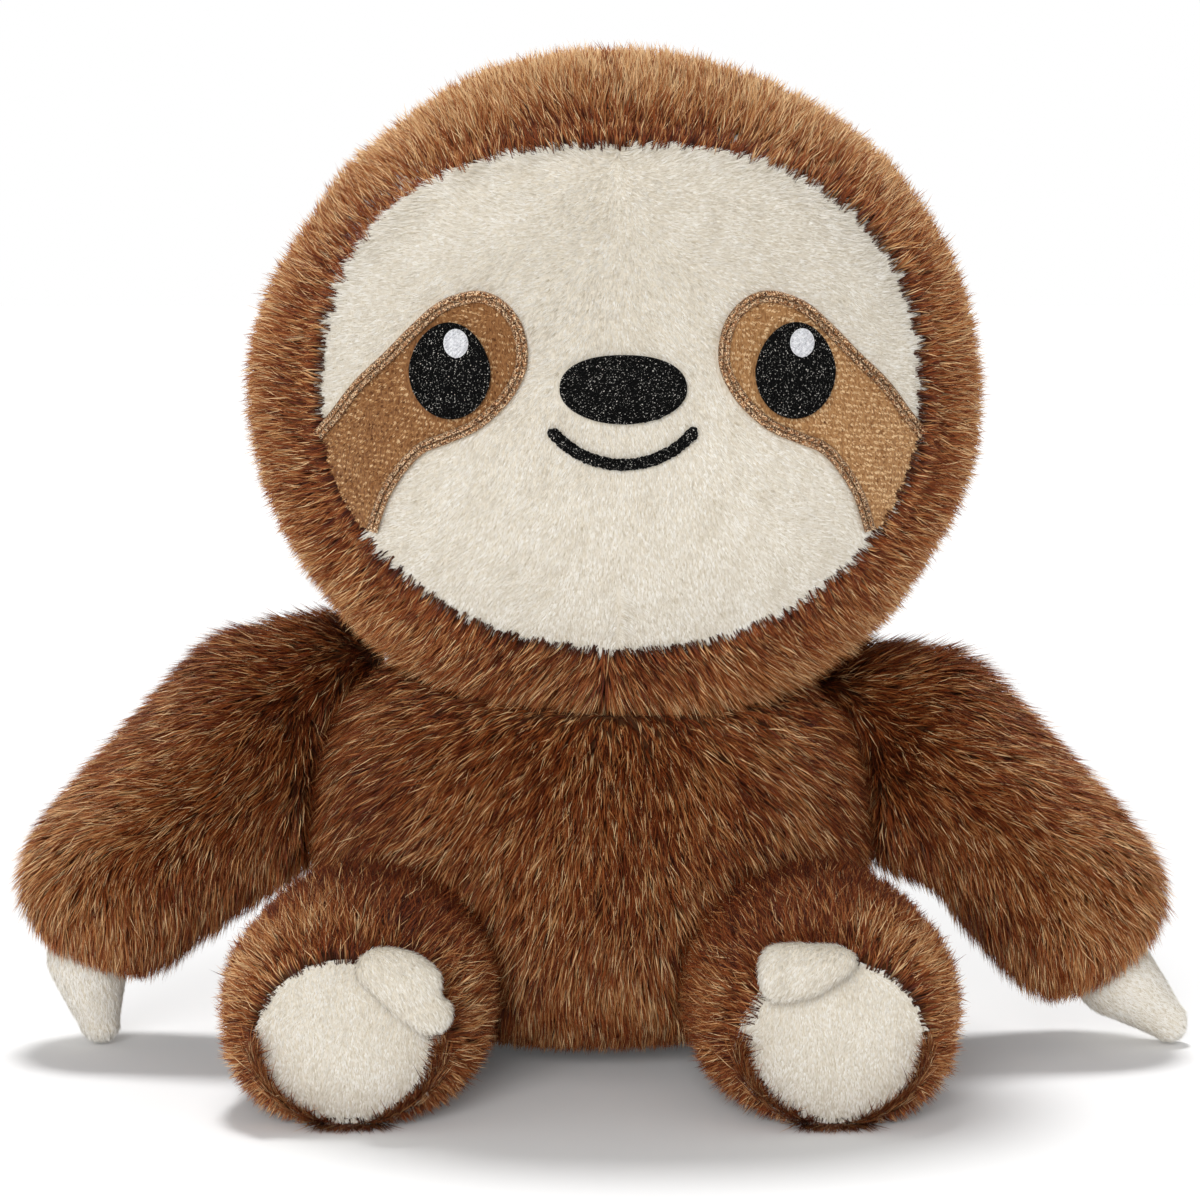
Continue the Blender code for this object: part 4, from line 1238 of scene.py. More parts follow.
@dataclass
class Head:
    """The hood in two halves with its fur, and the filling."""

    form: HeadForm
    inset: float = 0.0050
    backing: float = 0.0009
    filling_inset: float = 0.0069
    rim_inset: float = 0.0029
    overlap: float = 0.0007
    rows: int = 46
    columns: int = 56
    down_from: float = 0.0
    down_to: float = 0.045
    hollows: tuple[tuple[tuple[float, float, float], float, float], ...] = (
        ((-0.76, -0.25, 0.62), 0.0040, 0.36),
        ((-1.00, -0.10, 0.02), -0.0014, 0.30),
        ((0.98, -0.10, 0.10), 0.0009, 0.40),
        ((0.78, -0.20, -0.62), 0.0018, 0.34),
        ((0.42, -0.30, 0.88), 0.0018, 0.36),
    )
    dart: tuple[float, float] = (0.0047, 0.2425)
    parting: float = -0.0025

    def flow(self, places: Array, normals: Array) -> Array:
        """Away from the face over the front, then down: the arc to the back's middle, mixed with down."""
        local = self.form.local(places)
        wide, front, back, high = self.form.sizes(-self.inset)
        depth = np.where(local[:, 1] > 0, back, front)
        scale = stacked(wide, depth, high)
        ball = unit(local / scale)
        pole = np.array([0.0, 1.0, 0.0])
        away = unit((pole - dot(ball, np.broadcast_to(pole, ball.shape)) * ball) * scale)
        share = ease(local[:, 1], self.down_from, self.down_to)[:, None]
        way = away * (1.0 - share) - UP * share
        low = (1.0 - ease(local[:, 2], -0.064, -0.040))[:, None] * (1.0 - share)
        aside = local[:, :1] - self.parting
        aside = aside / (np.abs(aside) + 0.004) * np.array([1.0, 0.0, 0.0]) - 0.50 * UP
        way = way * (1.0 - 0.9 * low) + 1.4 * low * aside
        swing = 0.16 * Waves(3, 0.045).at(places) + 0.10 * Waves(4, 0.016).at(places)
        return swung(along_surface(way, normals), normals, swing)

    def shade(self, places: Array) -> Array:
        """Painted shade at the face's edge, where the hood meets the panel; painted rim light towards the
        outline and painted top light over the crown.
        """
        local = self.form.local(places)
        ball = unit(local / np.array([self.form.half_width, self.form.front, self.form.half_height]))
        tilt = np.arccos(np.clip(-ball[:, 1], -1.0, 1.0))
        edge = ease(tilt, 0.85, 1.50)
        low = 1.0 - ease(local[:, 2], -0.075, -0.03)
        rim = ease(self.form.from_face(places), 0.98, 1.20)
        crown = ease(local[:, 2], 0.02, 0.07) * rim
        from_dart = (places[:, [0, 2]] - self.dart) / (0.0012, 0.0032)
        dark = 0.45 * np.exp(-np.sum(from_dart**2, axis=1)) * (local[:, 1] < 0)
        # Painted light and shade: darker by the face's edge (rim), lighter towards the outline (edge) and
        # over the crown (crown).
        shade = 0.33 + 0.10 * rim + 0.18 * edge + 0.18 * crown + 0.01 * low - dark
        return shade + 0.05 * Waves(5, 0.03).at(places)

    def share(self, places: Array) -> Array:
        """Shorter strands right at the face's edge."""
        return 0.62 + 0.38 * ease(self.form.from_face(places), 0.98, 1.13)

    def stand(self, places: Array) -> Array:
        """Steeper under the chin, so that strands hang over the chest, and flatter behind the crown."""
        local = self.form.local(places)
        chin = 0.35 * (1.0 - ease(local[:, 2], -0.074, -0.060)) * (local[:, 1] < 0)
        return chin - 0.40 * ease(local[:, 1], 0.0, 0.02) * ease(local[:, 2], 0.01, 0.05)

    def in_front(self, places: Array) -> Array:
        """Where the fine pile of the front grows, above the neck."""
        return (places[:, 1] < -0.012) & (places[:, 2] > 0.0850)

    def behind(self, places: Array) -> Array:
        """Where the coarser pile of the back grows, above the neck."""
        return (places[:, 1] >= -0.012) & (places[:, 2] > 0.0865)

    def pushed(self, points: Array) -> Array:
        """The hood's points moved towards the head's middle by the hollows, and by small soft lumps."""
        away = unit(points - np.array(self.form.shift))
        move = 0.0005 * Waves(11, 0.05).at(points.reshape(-1, 3)).reshape(points.shape[:-1])
        for way, depth, reach in self.hollows:
            apart = np.linalg.norm(away - unit(np.array(way)), axis=-1)
            move = move - depth * np.exp(-((apart / reach) ** 2))
        return points + away * move[..., None]

    def build(self, shop: Workshop) -> None:
        """Builds and dresses the head."""
        half = math.pi / 2
        for side in Side:
            angles = np.linspace(half, -half, self.columns)
            aside = np.array([0.00015, 0.0, 0.0])
            outer, inner, rooted = (
                self.pushed(self.form.world((self.form.hood(angles, self.rows, *s) + aside) * side.mirror))
                for s in (
                    (-self.inset, -self.rim_inset, self.form.gap),
                    (-self.inset - self.backing, -self.rim_inset - self.backing, self.form.gap),
                    (-self.inset, self.overlap - self.rim_inset, -self.overlap),
                )
            )
            cover = Surface.shell(outer, inner, False)
            name = f"head_cover_{side.word}"
            shop.surface(f"{name}_cloth", name, cover, FUR_BACKING, "head", "fur", 0.9)
            ground = Surface.sheet(rooted, False, np.array(self.form.shift))
            seed = 21 + 2 * int(side.value)
            made = HEAD_PILE.grow(ground, self.flow, self.shade, seed, self.in_front, self.share, self.stand)
            shop.strands(f"head_fur_{side.word}_front", made, FUR, "head")
            made = BACK_PILE.grow(ground, self.flow, self.shade, seed + 1, self.behind, None, self.stand)
            shop.strands(f"head_fur_{side.word}_back", made, FUR, "head")
        filling = Surface.solid(self.form.world(self.form.ball(-self.filling_inset, 30, 44)))
        shop.surface("head_filling", "head_stuffing", filling, FIBRE, "head", "filling", 0.9)


@dataclass
class Face:
    """The cream face panel with its eye patches, and the embroidery."""

    form: HeadForm
    sink: float = 0.0009
    thickness: float = 0.0025
    rows: int = 26
    columns: int = 120
    patch_edge_shares: tuple[tuple[float, float], ...] = (
        (1.030, -0.120), (0.972, -0.040), (0.888, 0.092), (0.790, 0.205), (0.690, 0.326), (0.603, 0.413),
        (0.493, 0.458), (0.409, 0.437), (0.342, 0.361), (0.312, 0.260), (0.314, 0.159), (0.349, 0.067),
        (0.400, -0.010), (0.479, -0.089), (0.578, -0.143), (0.655, -0.185), (0.716, -0.265),
        (0.768, -0.366), (0.800, -0.470), (0.812, -0.520),
    )
    patch_middle_shares: tuple[float, float] = (0.82, -0.07)
    patch_rim_share: float = 1.004
    border_width: float = 0.0029
    row_pitch: float = 0.0014
    eye: tuple[float, float] = (0.0403, 0.0087)
    eye_half: tuple[float, float] = (0.0096, 0.0112)
    highlight_half: tuple[float, float] = (0.0029, 0.0033)
    highlight_shift: tuple[float, float] = (0.0015, 0.0065)
    nose_half: tuple[float, float] = (0.0148, 0.0080)
    nose_z: float = 0.0048
    nose_powers: tuple[float, float] = (2.3, 2.0)
    mouth_half_width: float = 0.0170
    mouth_drop: float = 0.0083
    mouth_z: float = -0.0127
    mouth_line: float = 0.0028
    thread: float = 0.00036

    def border_line(self, inset: float) -> Array:
        """The left patch's stitched edge moved inwards: each point goes along the line's own left."""
        shares = np.array(self.patch_edge_shares) * self.form.face_half
        line = smooth_line(shares, 160)
        along = unit(np.gradient(line, axis=0))
        return line + inset * stacked(-along[:, 1], along[:, 0])

    def patch_outline(self, inset: float) -> Array:
        """The left patch's whole outline: the stitched edge, and the face's own edge back to its start."""
        inner = self.border_line(inset)[:-1]
        low, high = inner[-1, 1], inner[0, 1] - self.form.gap
        level = np.linspace(low, high, 40)[1:]
        rim = self.form.face_half_width * self.patch_rim_share
        power = np.where(level > self.form.face_rise, self.form.upper_power, self.form.lower_power)
        up = np.abs((level - self.form.face_rise) / self.form.face_half_height)
        reach = rim * (1.0 - up**power) ** (1.0 / power)
        return np.concatenate([inner, stacked(reach, level)])

    def oval(
        self,
        middle: Sequence[float],
        half: Sequence[float],
        narrow: float = 0.0,
        powers: tuple[float, float] = (2.0, 2.0),
    ) -> Array:
        """A flat oval: superellipses above and below, with the upper part narrowed by a share."""
        angle = around(72)
        upper, lower = power_wave(angle, powers[0]), power_wave(angle, powers[1])
        wide, high = np.where(np.sin(angle) > 0, upper, lower)
        shape = stacked(wide * (1.0 - narrow * high.clip(0.0)), high)
        return np.asarray(middle) + shape * half

    def rings(self, middle: Sequence[float], edge: Array, rows: int) -> Array:
        """Flat rings from a middle out to an edge, by even shares."""
        share = np.linspace(0.0, 1.0, rows)[:, None, None]
        return np.asarray(middle) + share * (edge[None] - np.asarray(middle))

    def disc(
        self, middle: Sequence[float], edge: Array, lifts: tuple[float, float], rows: int, dome: float = 0.0
    ) -> Surface:
        """A sheet on the face: rings between two lifts, higher in the middle by a dome."""
        flat = self.rings(middle, edge, rows)
        rise = dome * (1.0 - np.linspace(0.0, 1.0, rows)[:, None] ** 4)
        upper = self.form.on_face(flat, lifts[1] + rise)
        return Surface.shell(upper, self.form.on_face(flat, lifts[0]), True)

    def top_of(self, middle: Sequence[float], edge: Array, lift: float, rows: int) -> Surface:
        """The upper side of such a sheet, to grow a pile on."""
        grid = self.form.on_face(self.rings(middle, edge, rows), lift)
        return Surface.sheet(grid, True, np.array(self.form.shift))

    def flat_of(self, places: Array) -> Array:
        """Places across and up on the face, from the object's frame."""
        return self.form.local(places)[:, [0, 2]]

    def stitches(self, start: Array, end: Array, lift: float, rise: float, seed: int) -> Surface:
        """Threads over the face: each goes straight from start to end, arched by a rise, as a thin tube.

        Args:
            start: Flat places where the threads come up.
            end: Flat places where they go down.
            lift: Lift of their ends off the face.
            rise: How much higher their middles lie.
            seed: Seed of the small differences between them.

        Returns:
            All the tubes as one surface.
        """
        rng = np.random.default_rng(seed)
        count, rings, sides = len(start), 5, 5
        s = np.linspace(0.0, 1.0, rings)
        bow = 1.0 - (2.0 * s - 1.0) ** 4
        flat = start[:, None] + (end - start)[:, None] * s[None, :, None]
        lifts = lift + (rise * rng.uniform(0.75, 1.25, (count, 1))) * bow
        middle = self.form.on_face(flat, lifts)
        beside = self.form.on_face(flat, lifts + 0.001)
        normal = unit(beside - middle)
        along = unit(np.gradient(middle, axis=1))
        across = unit(np.cross(along, normal))
        radius = self.thread / 2.0 * rng.uniform(0.88, 1.12, (count, 1)) * (0.35 + 0.65 * bow**0.5)
        angle = around(sides)
        ring = np.cos(angle)[:, None] * across[:, :, None] + np.sin(angle)[:, None] * normal[:, :, None]
        tube = middle[:, :, None] + radius[:, :, None, None] * ring
        tips = np.stack([middle[:, 0], middle[:, -1]], axis=1)
        points = np.concatenate([tube.reshape(count, -1, 3), tips], axis=1)
        index = np.arange(rings * sides).reshape(rings, sides)
        side = grid_triangles(index, True)
        ahead = np.roll(np.arange(sides), -1)
        start_fan = stacked(ahead, np.arange(sides), np.full(sides, rings * sides))
        last = (rings - 1) * sides
        end_fan = stacked(last + np.arange(sides), last + ahead, np.full(sides, rings * sides + 1))
        one = np.concatenate([side, start_fan, end_fan])
        faces = one[None] + (np.arange(count) * (rings * sides + 2))[:, None, None]
        return Surface.outward(points.reshape(-1, 3), faces.reshape(-1, 3))

    def fill_stitches(self, outline: Array, angle: float, stitch: float, pitch: float) -> tuple[Array, Array]:
        """Starts and ends of stitches that fill an outline: parallel rows, cut into stitches like bricks.

        Args:
            outline: The flat outline.
            angle: The way of the rows, from level.
            stitch: Length of a stitch.
            pitch: Distance between rows.

        Returns:
            The starts and the ends of the stitches that lie inside.
        """
        way = np.array([math.cos(angle), math.sin(angle)])
        across = np.array([-way[1], way[0]])
        middle = outline.mean(axis=0)
        size = np.max(np.linalg.norm(outline - middle, axis=1)) + stitch
        rows = np.arange(-size, size, pitch)
        steps = np.arange(-size, size, stitch)
        shift = (np.arange(len(rows)) % 3)[:, None] * stitch / 3.0
        first = steps[None, :] + shift
        fine = np.linspace(0.0, 1.0, 9)
        run = first[..., None] + fine * stitch
        flat = middle + run[..., None] * way + rows[:, None, None, None] * across
        within = inside(flat.reshape(-1, 2), outline).reshape(run.shape)
        some = within.sum(axis=-1) >= 3
        low = np.where(within, run, np.inf).min(axis=-1)[some]
        high = np.where(within, run, -np.inf).max(axis=-1)[some]
        offset = np.broadcast_to(rows[:, None], some.shape)[some][:, None] * across
        return middle + low[:, None] * way + offset, middle + high[:, None] * way + offset

    def embroidered(
        self, outline: Array, angle: float, lift: float, seed: int, stitch: float = 0.0026
    ) -> Surface:
        """A bed of thread in an outline with fill stitches over it."""
        middle = outline.mean(axis=0)
        bed = self.disc(middle, outline, (lift - 0.0008, lift), 7, 0.0002)
        start, end = self.fill_stitches(outline, angle, stitch, self.thread * 0.82)
        return Surface.joined(bed, self.stitches(start, end, lift, 0.0003, seed))

    def mouth(self) -> Surface:
        """The mouth: one arc, covered by satin stitches that run across it."""
        radius = (self.mouth_half_width**2 + self.mouth_drop**2) / (2.0 * self.mouth_drop)
        swing = np.linspace(-1.0, 1.0, 110) * math.asin(self.mouth_half_width / radius)
        arc = stacked(radius * np.sin(swing), self.mouth_z + radius * (1.0 - np.cos(swing)))
        along = unit(np.gradient(arc, axis=0))
        across = stacked(-along[:, 1], along[:, 0])
        from_end = (np.abs(swing[0]) - np.abs(swing)) * radius
        radius_end = self.mouth_line / 2.0
        half = radius_end * np.sqrt(np.clip(1.0 - (1.0 - from_end / radius_end).clip(0.0) ** 2, 0.03, 1.0))
        lean = 0.0002 * along
        uneven = np.random.default_rng(90).uniform(0.88, 1.12, (2, len(arc), 1))
        start = arc - across * half[:, None] * uneven[0] - lean
        end = arc + across * half[:, None] * uneven[1] + lean
        share = np.linspace(0.0, 1.0, 3)[:, None, None]
        flat = start[None] + share * (end - start)[None]
        high = self.form.on_face(flat, 0.0002)
        low = self.form.on_face(flat, -0.0008)
        return Surface.joined(Surface.shell(high, low, False), self.stitches(start, end, 0.0002, 0.0006, 91))

    def border(self, side: Side) -> Surface:
        """A patch's stitched edge: a strip of cloth, and two rows of slanted stitches side by side."""
        mirror = np.array([side.value, 1.0])
        share = np.linspace(0.04, 0.96, 5)
        flat = np.stack([self.border_line(self.border_width * k) for k in share]) * mirror
        high = self.form.on_face(flat, 0.0003)
        low = self.form.on_face(flat, -0.0010)
        parts = [Surface.shell(high, low, False)]
        for row, (near, far) in enumerate(((0.02, 0.52), (0.48, 0.98))):
            lines = [self.border_line(self.border_width * k) for k in (near, far)]
            length = np.concatenate([[0.0], np.cumsum(np.linalg.norm(np.diff(lines[0], axis=0), axis=1))])
            at = np.arange(0.0003, length[-1] - 0.0009, self.thread * 0.86)
            slant = 0.0007 if row else -0.0007
            start = stacked(*(np.interp(at, length, lines[0][:, k]) for k in range(2)))
            end = stacked(*(np.interp(at + slant, length, lines[1][:, k]) for k in range(2)))
            parts.append(self.stitches(start * mirror, end * mirror, 0.0003, 0.0007, 70 + row))
        return Surface.joined(*parts)

    def shade(self, places: Array) -> Array:
        """Cream with soft patches."""
        return 0.62 + 0.06 * Waves(32, 0.012).at(places)

    def share(self, places: Array) -> Array:
        """Longer strands at the face's edge."""
        return 1.0 + 0.5 * ease(self.form.from_face(places), 0.95, 1.0)

    def build(self, shop: Workshop) -> None:
        """Builds and dresses the face."""
        edge = stacked(*self.form.outline(around(self.columns)))
        middle = (0.0, self.form.face_rise)
        panel = self.disc(middle, edge, (-self.sink - self.thickness, -self.sink), self.rows)
        shop.surface("face_panel_cloth", "face_panel", panel, CREAM_BACKING, "head", "cream_plush", 0.85)
        patch = self.patch_outline(0.0)
        both = [patch, patch * (-1.0, 1.0)]
        nose = self.oval((0.0, self.nose_z), self.nose_half, 0.0, self.nose_powers)
        ground = self.top_of(middle, edge * 1.004, -self.sink, self.rows)

        def bare(places: Array) -> Array:
            """Where the cream nap grows: not under the patches, the nose or the mouth."""
            flat = self.flat_of(places)
            covered = inside(flat, both[0]) | inside(flat, both[1]) | inside(flat, nose)
            return ~covered

        def flow(places: Array, normals: Array) -> Array:
            """Sideways near the top, then down, outwards at the edge, and parted along the chin's dart."""
            flat = self.flat_of(places)
            x, z = flat[:, 0] / 0.02, flat[:, 1]
            part = 2.5 * np.sign(flat[:, 0]) * np.exp(-((flat[:, 0] / 0.0022) ** 2))
            part = part * (1.0 - ease(z, -0.046, -0.040))
            way = stacked(x + part, 0.0, -(0.55 + (0.035 - z) / 0.05))
            rim = ease(self.form.from_face(places), 0.88, 1.0)
            out = stacked(flat[:, 0], 0.0, flat[:, 1])
            way = unit(way) + 0.8 * rim[:, None] * unit(out)
            return swung(along_surface(way, normals), normals, 0.25 * Waves(31, 0.02).at(places))

        made = NAP.grow(ground, flow, self.shade, 41, bare, self.share)
        shop.strands("face_nap", made, CREAM_PLUSH, "head")
        made = self.embroidered(nose, math.radians(20), 0.0004, 51)
        shop.surface("nose_embroidery", "nose", made, BLACK_THREAD, "head", "black_thread")
        shop.surface("mouth_stitches", "mouth", self.mouth(), BLACK_THREAD, "head", "black_thread")
        for side in Side:
            self.build_eye(shop, side)

    def build_eye(self, shop: Workshop, side: Side) -> None:
        """A patch of tan plush, its stitched border, the eye on it and the eye's highlight."""
        mirror = np.array([side.value, 1.0])
        outline = self.patch_outline(self.border_width * 0.8) * mirror
        middle = np.array(self.patch_middle_shares) * self.form.face_half * mirror
        patch = self.disc(middle, outline, (-0.0011, -0.0002), 12)
        name = f"eye_patch_{side.word}"
        # The left patch gets the lighter copy of the ground and the right the darker: painted light and
        # shade.
        shop.surface(f"{name}_cloth", name, patch, side.pick(TAN_BACKINGS_LIT_AND_SHADED), "head", "tan_plush", 0.7)
        eye = self.oval(np.array(self.eye) * mirror, self.eye_half, 0.10)

        def flow(places: Array, normals: Array) -> Array:
            """Outwards and down, away from the eye."""
            flat = self.flat_of(places) - np.array(self.eye) * mirror
            way = stacked(flat[:, 0] + 0.012 * side.value, 0.0, flat[:, 1] - 0.012)
            return swung(along_surface(unit(way), normals), normals, 0.3 * Waves(33, 0.012).at(places))

        def shade(places: Array) -> Array:
            """Darker tufts here and there, golden close to the eye; painted light on the left patch and
            painted shade on the right.
            """
            near = 1.0 - ease(distance_to(self.flat_of(places), eye), 0.0005, 0.0030)
            patchy = 0.10 * Waves(34, 0.007).at(places).clip(0.0)
            # Painted light and shade: 0.15 lighter on the left patch, 0.15 darker on the right.
            return 0.47 + 0.15 * side.value - patchy + 0.28 * near + 0.36 * rows(places)

        def rows(places: Array) -> Array:
            """The plush's level rows: a cosine of the height, a little wavy."""
            phase = (places[:, 2] + 0.12 * places[:, 0]) * 2.0 * math.pi / self.row_pitch
            return np.cos(phase + 0.8 * Waves(39, 0.01).at(places))

        def keep(places: Array) -> Array:
            """Not under the eye, nor between the rows."""
            return ~inside(self.flat_of(places), eye) & (rows(places) > -0.55)

        ground = self.top_of(middle, outline, -0.0002, 12)
        nap = TAN_NAP.grow(ground, flow, shade, 61, keep)
        shop.strands(f"{name}_nap", nap, TAN_PLUSH, "head")
        border = f"patch_border_{side.word}"
        shop.surface(f"{border}_stitches", border, self.border(side), BROWN_THREAD, "head", "border_thread")
        made = self.embroidered(eye, math.radians(68), 0.0010, 52)
        node = f"eye_{side.word}"
        shop.surface(f"{node}_embroidery", node, made, BLACK_THREAD, "head", "black_thread")
        spot = np.array(self.eye) * mirror + self.highlight_shift
        light = self.oval(spot, self.highlight_half)
        made = self.embroidered(light, math.radians(10), 0.0019, 53, 0.0013)
        node = f"eye_highlight_{side.word}"
        shop.surface(f"{node}_embroidery", node, made, WHITE_THREAD, "head", "white_thread")


@dataclass
class Body:
    """Front and back covers with their fur, and the filling."""

    form: BodyForm
    inset: float = 0.0050
    backing: float = 0.0009
    filling_inset: float = 0.0067
    rows: int = 34
    columns: int = 64
    chin: tuple[float, float, float] = (0.007, -0.045, 0.112)

    def flow(self, places: Array, normals: Array) -> Array:
        """Fanned from under the chin over the front, and straight down elsewhere."""
        fan = unit((places - np.array(self.chin)) * (1.0, 0.2, 1.0) - 0.012 * UP)
        share = ease(places[:, 1], -0.02, 0.02)[:, None]
        way = fan * (1.0 - share) - UP * share
        swing = 0.15 * Waves(6, 0.04).at(places) + 0.09 * Waves(7, 0.015).at(places)
        return swung(along_surface(way, normals), normals, swing)

    def shade(self, places: Array) -> Array:
        """Painted shade near the arms and under the head, so lighter down the front."""
        low = ease(places[:, 2], 0.03, 0.075)
        side = ease(np.abs(places[:, 0]), 0.045, 0.07)
        # Painted shade: darker high up under the head and at the sides next to the arms.
        return 0.44 - 0.06 * low - 0.07 * side + 0.05 * Waves(8, 0.025).at(places)

    def share(self, places: Array) -> Array:
        """Shorter strands next to the head and at the base."""
        apart = ease(-self.form.head.depth_in(places, 0.0), 0.02, 0.14)
        return (0.60 + 0.40 * apart) * (0.62 + 0.38 * ease(places[:, 2], 0.004, 0.022))

    def stand(self, places: Array) -> Array:
        """Flatter strands next to the head."""
        return -0.40 * (1.0 - ease(-self.form.head.depth_in(places, 0.0), 0.01, 0.12))

    def open_to_view(self, places: Array) -> Array:
        """Which places aren't pressed against the head, a leg, an arm's root or the floor."""
        free = (self.form.head.depth_in(places, 0.0008) < 0.0) & (places[:, 2] > 0.004)
        for side in Side:
            free &= ~LegForm(side).holds(places, -0.003)
            arm = ArmForm(side)
            free &= np.linalg.norm(places - arm.place, axis=1) > arm.ball - 0.003
        return free

    def build(self, shop: Workshop) -> None:
        """Builds and dresses the body."""
        centre = np.array([0.0, self.form.seam_y, 0.05])
        for name, start in (("body_front_cover", math.pi), ("body_back_cover", 0.0)):
            turns = np.linspace(start, start + math.pi, self.columns)
            aside = np.array([0.0, 0.00015 if start == 0.0 else -0.00015, 0.0])
            outer = self.form.dented(self.form.grid(self.inset, self.rows, turns), 0.0) + aside
            inner = self.form.grid(self.inset + self.backing, self.rows, turns)
            inner = self.form.dented(inner, 0.0005) + aside
            cover = Surface.shell(outer, inner, False)
            shop.surface(f"{name}_cloth", name, cover, FUR_BACKING, "body", "fur", 0.85)
            ground = Surface.sheet(outer, False, centre)
            pile = BACK_PILE if start == 0.0 else FUR_PILE
            seed = 101 + int(start)
            made = pile.grow(ground, self.flow, self.shade, seed, self.open_to_view, self.share, self.stand)
            shop.strands(name.replace("cover", "fur"), made, FUR, "body")
        turns = around(96)
        inner = self.form.dented(self.form.grid(self.filling_inset, 24, turns), 0.0009)
        filling = Surface.solid(inner)
        shop.surface("body_filling", "body_stuffing", filling, FIBRE, "body", "filling", 0.85)


@dataclass
class Claw:
    """A stuffed cream claw at the end of an arm: a ball at its root, then a taper to a blunt tip."""

    side: Side
    arm: ArmForm
    ball: float = 0.0106
    lengths: tuple[float, float] = (0.0220, 0.0214)
    forward: float = 0.19
    tip: float = 0.0056
    sink: float = 0.0015
    seat_angles: tuple[float, float] = (math.radians(33), math.radians(18))
    lean_angles: tuple[float, float] = (math.radians(53), math.radians(-7))
    bend: float = 0.0015
    nap_depth: float = 0.0004

    @property
    def wrist(self) -> Array:
        """The ball's middle from the shoulder, before it is mirrored."""
        seat = self.side.pick(self.seat_angles)
        line = self.arm.line(26)
        depth = line[-1, 3] - self.sink
        return line[-1, :3] + depth * np.array([math.sin(seat), 0.0, -math.cos(seat)])

    def grid(self, inset: float, sides: int) -> Array:
        """Rings of the claw: pointing down and a little forwards, then leaned about the wrist."""
        angle = np.linspace(0.06, math.radians(110), 12)
        ball, tip = self.ball - inset, self.tip - inset
        height, radius = ball * np.cos(angle), ball * np.sin(angle)
        length = self.side.pick(self.lengths)
        taper = np.linspace(0.0, 1.0, 12)[1:]
        side_height = height[-1] + taper * (self.tip - length - height[-1])
        side_radius = radius[-1] + taper * (tip - radius[-1])
        cap = np.linspace(0.0, math.pi / 2 - 0.06, 7)[1:]
        height = np.concatenate([height, side_height, self.tip - length - tip * np.sin(cap)])
        radius = np.concatenate([radius, side_radius, tip * np.cos(cap)])
        turn = around(sides)
        bend = -self.bend * (height.clip(None, 0.0) / length) ** 2
        x = bend[:, None] + radius[:, None] * np.cos(turn)
        y = radius[:, None] * np.sin(turn) + self.forward * height.clip(None, 0.0)[:, None]
        grid = stacked(x, y, height[:, None])
        lean = -self.side.pick(self.lean_angles)
        cosine, sine = math.cos(lean), math.sin(lean)
        matrix = np.array([[cosine, 0.0, sine], [0.0, 1.0, 0.0], [-sine, 0.0, cosine]])
        return self.arm.world(grid @ matrix.T + self.wrist)

    def shade(self, places: Array) -> Array:
        """Cream painted lighter than the face's, as painted light on a claw that hangs in the arm's shade,
        with soft patches.
        """
        # Painted light: the claw's shade is raised well above the face's 0.62.
        return 0.92 + 0.06 * Waves(35, 0.008).at(places)

    def build(self, shop: Workshop) -> None:
        """Builds and dresses the claw."""
        grid = self.grid(self.nap_depth, 40)
        name = f"hand_claw_{self.side.word}"
        body = f"claw_{self.side.word}"
        skin = Surface.solid(grid)
        shop.surface(f"{name}_cloth", name, skin, CREAM_BACKING, body, "cream_plush", 0.95)
        tip, root = grid[-1].mean(axis=0), grid[0].mean(axis=0)
        ground = Surface.sheet(grid, True, grid.reshape(-1, 3).mean(axis=0))

        def flow(places: Array, normals: Array) -> Array:
            """Along the claw to its tip."""
            return np.broadcast_to(unit(tip - root), places.shape) + 0.2 * UP

        made = CLAW_NAP.grow(ground, flow, self.shade, 63)
        shop.strands(f"{name}_nap", made, CREAM_PLUSH, body)


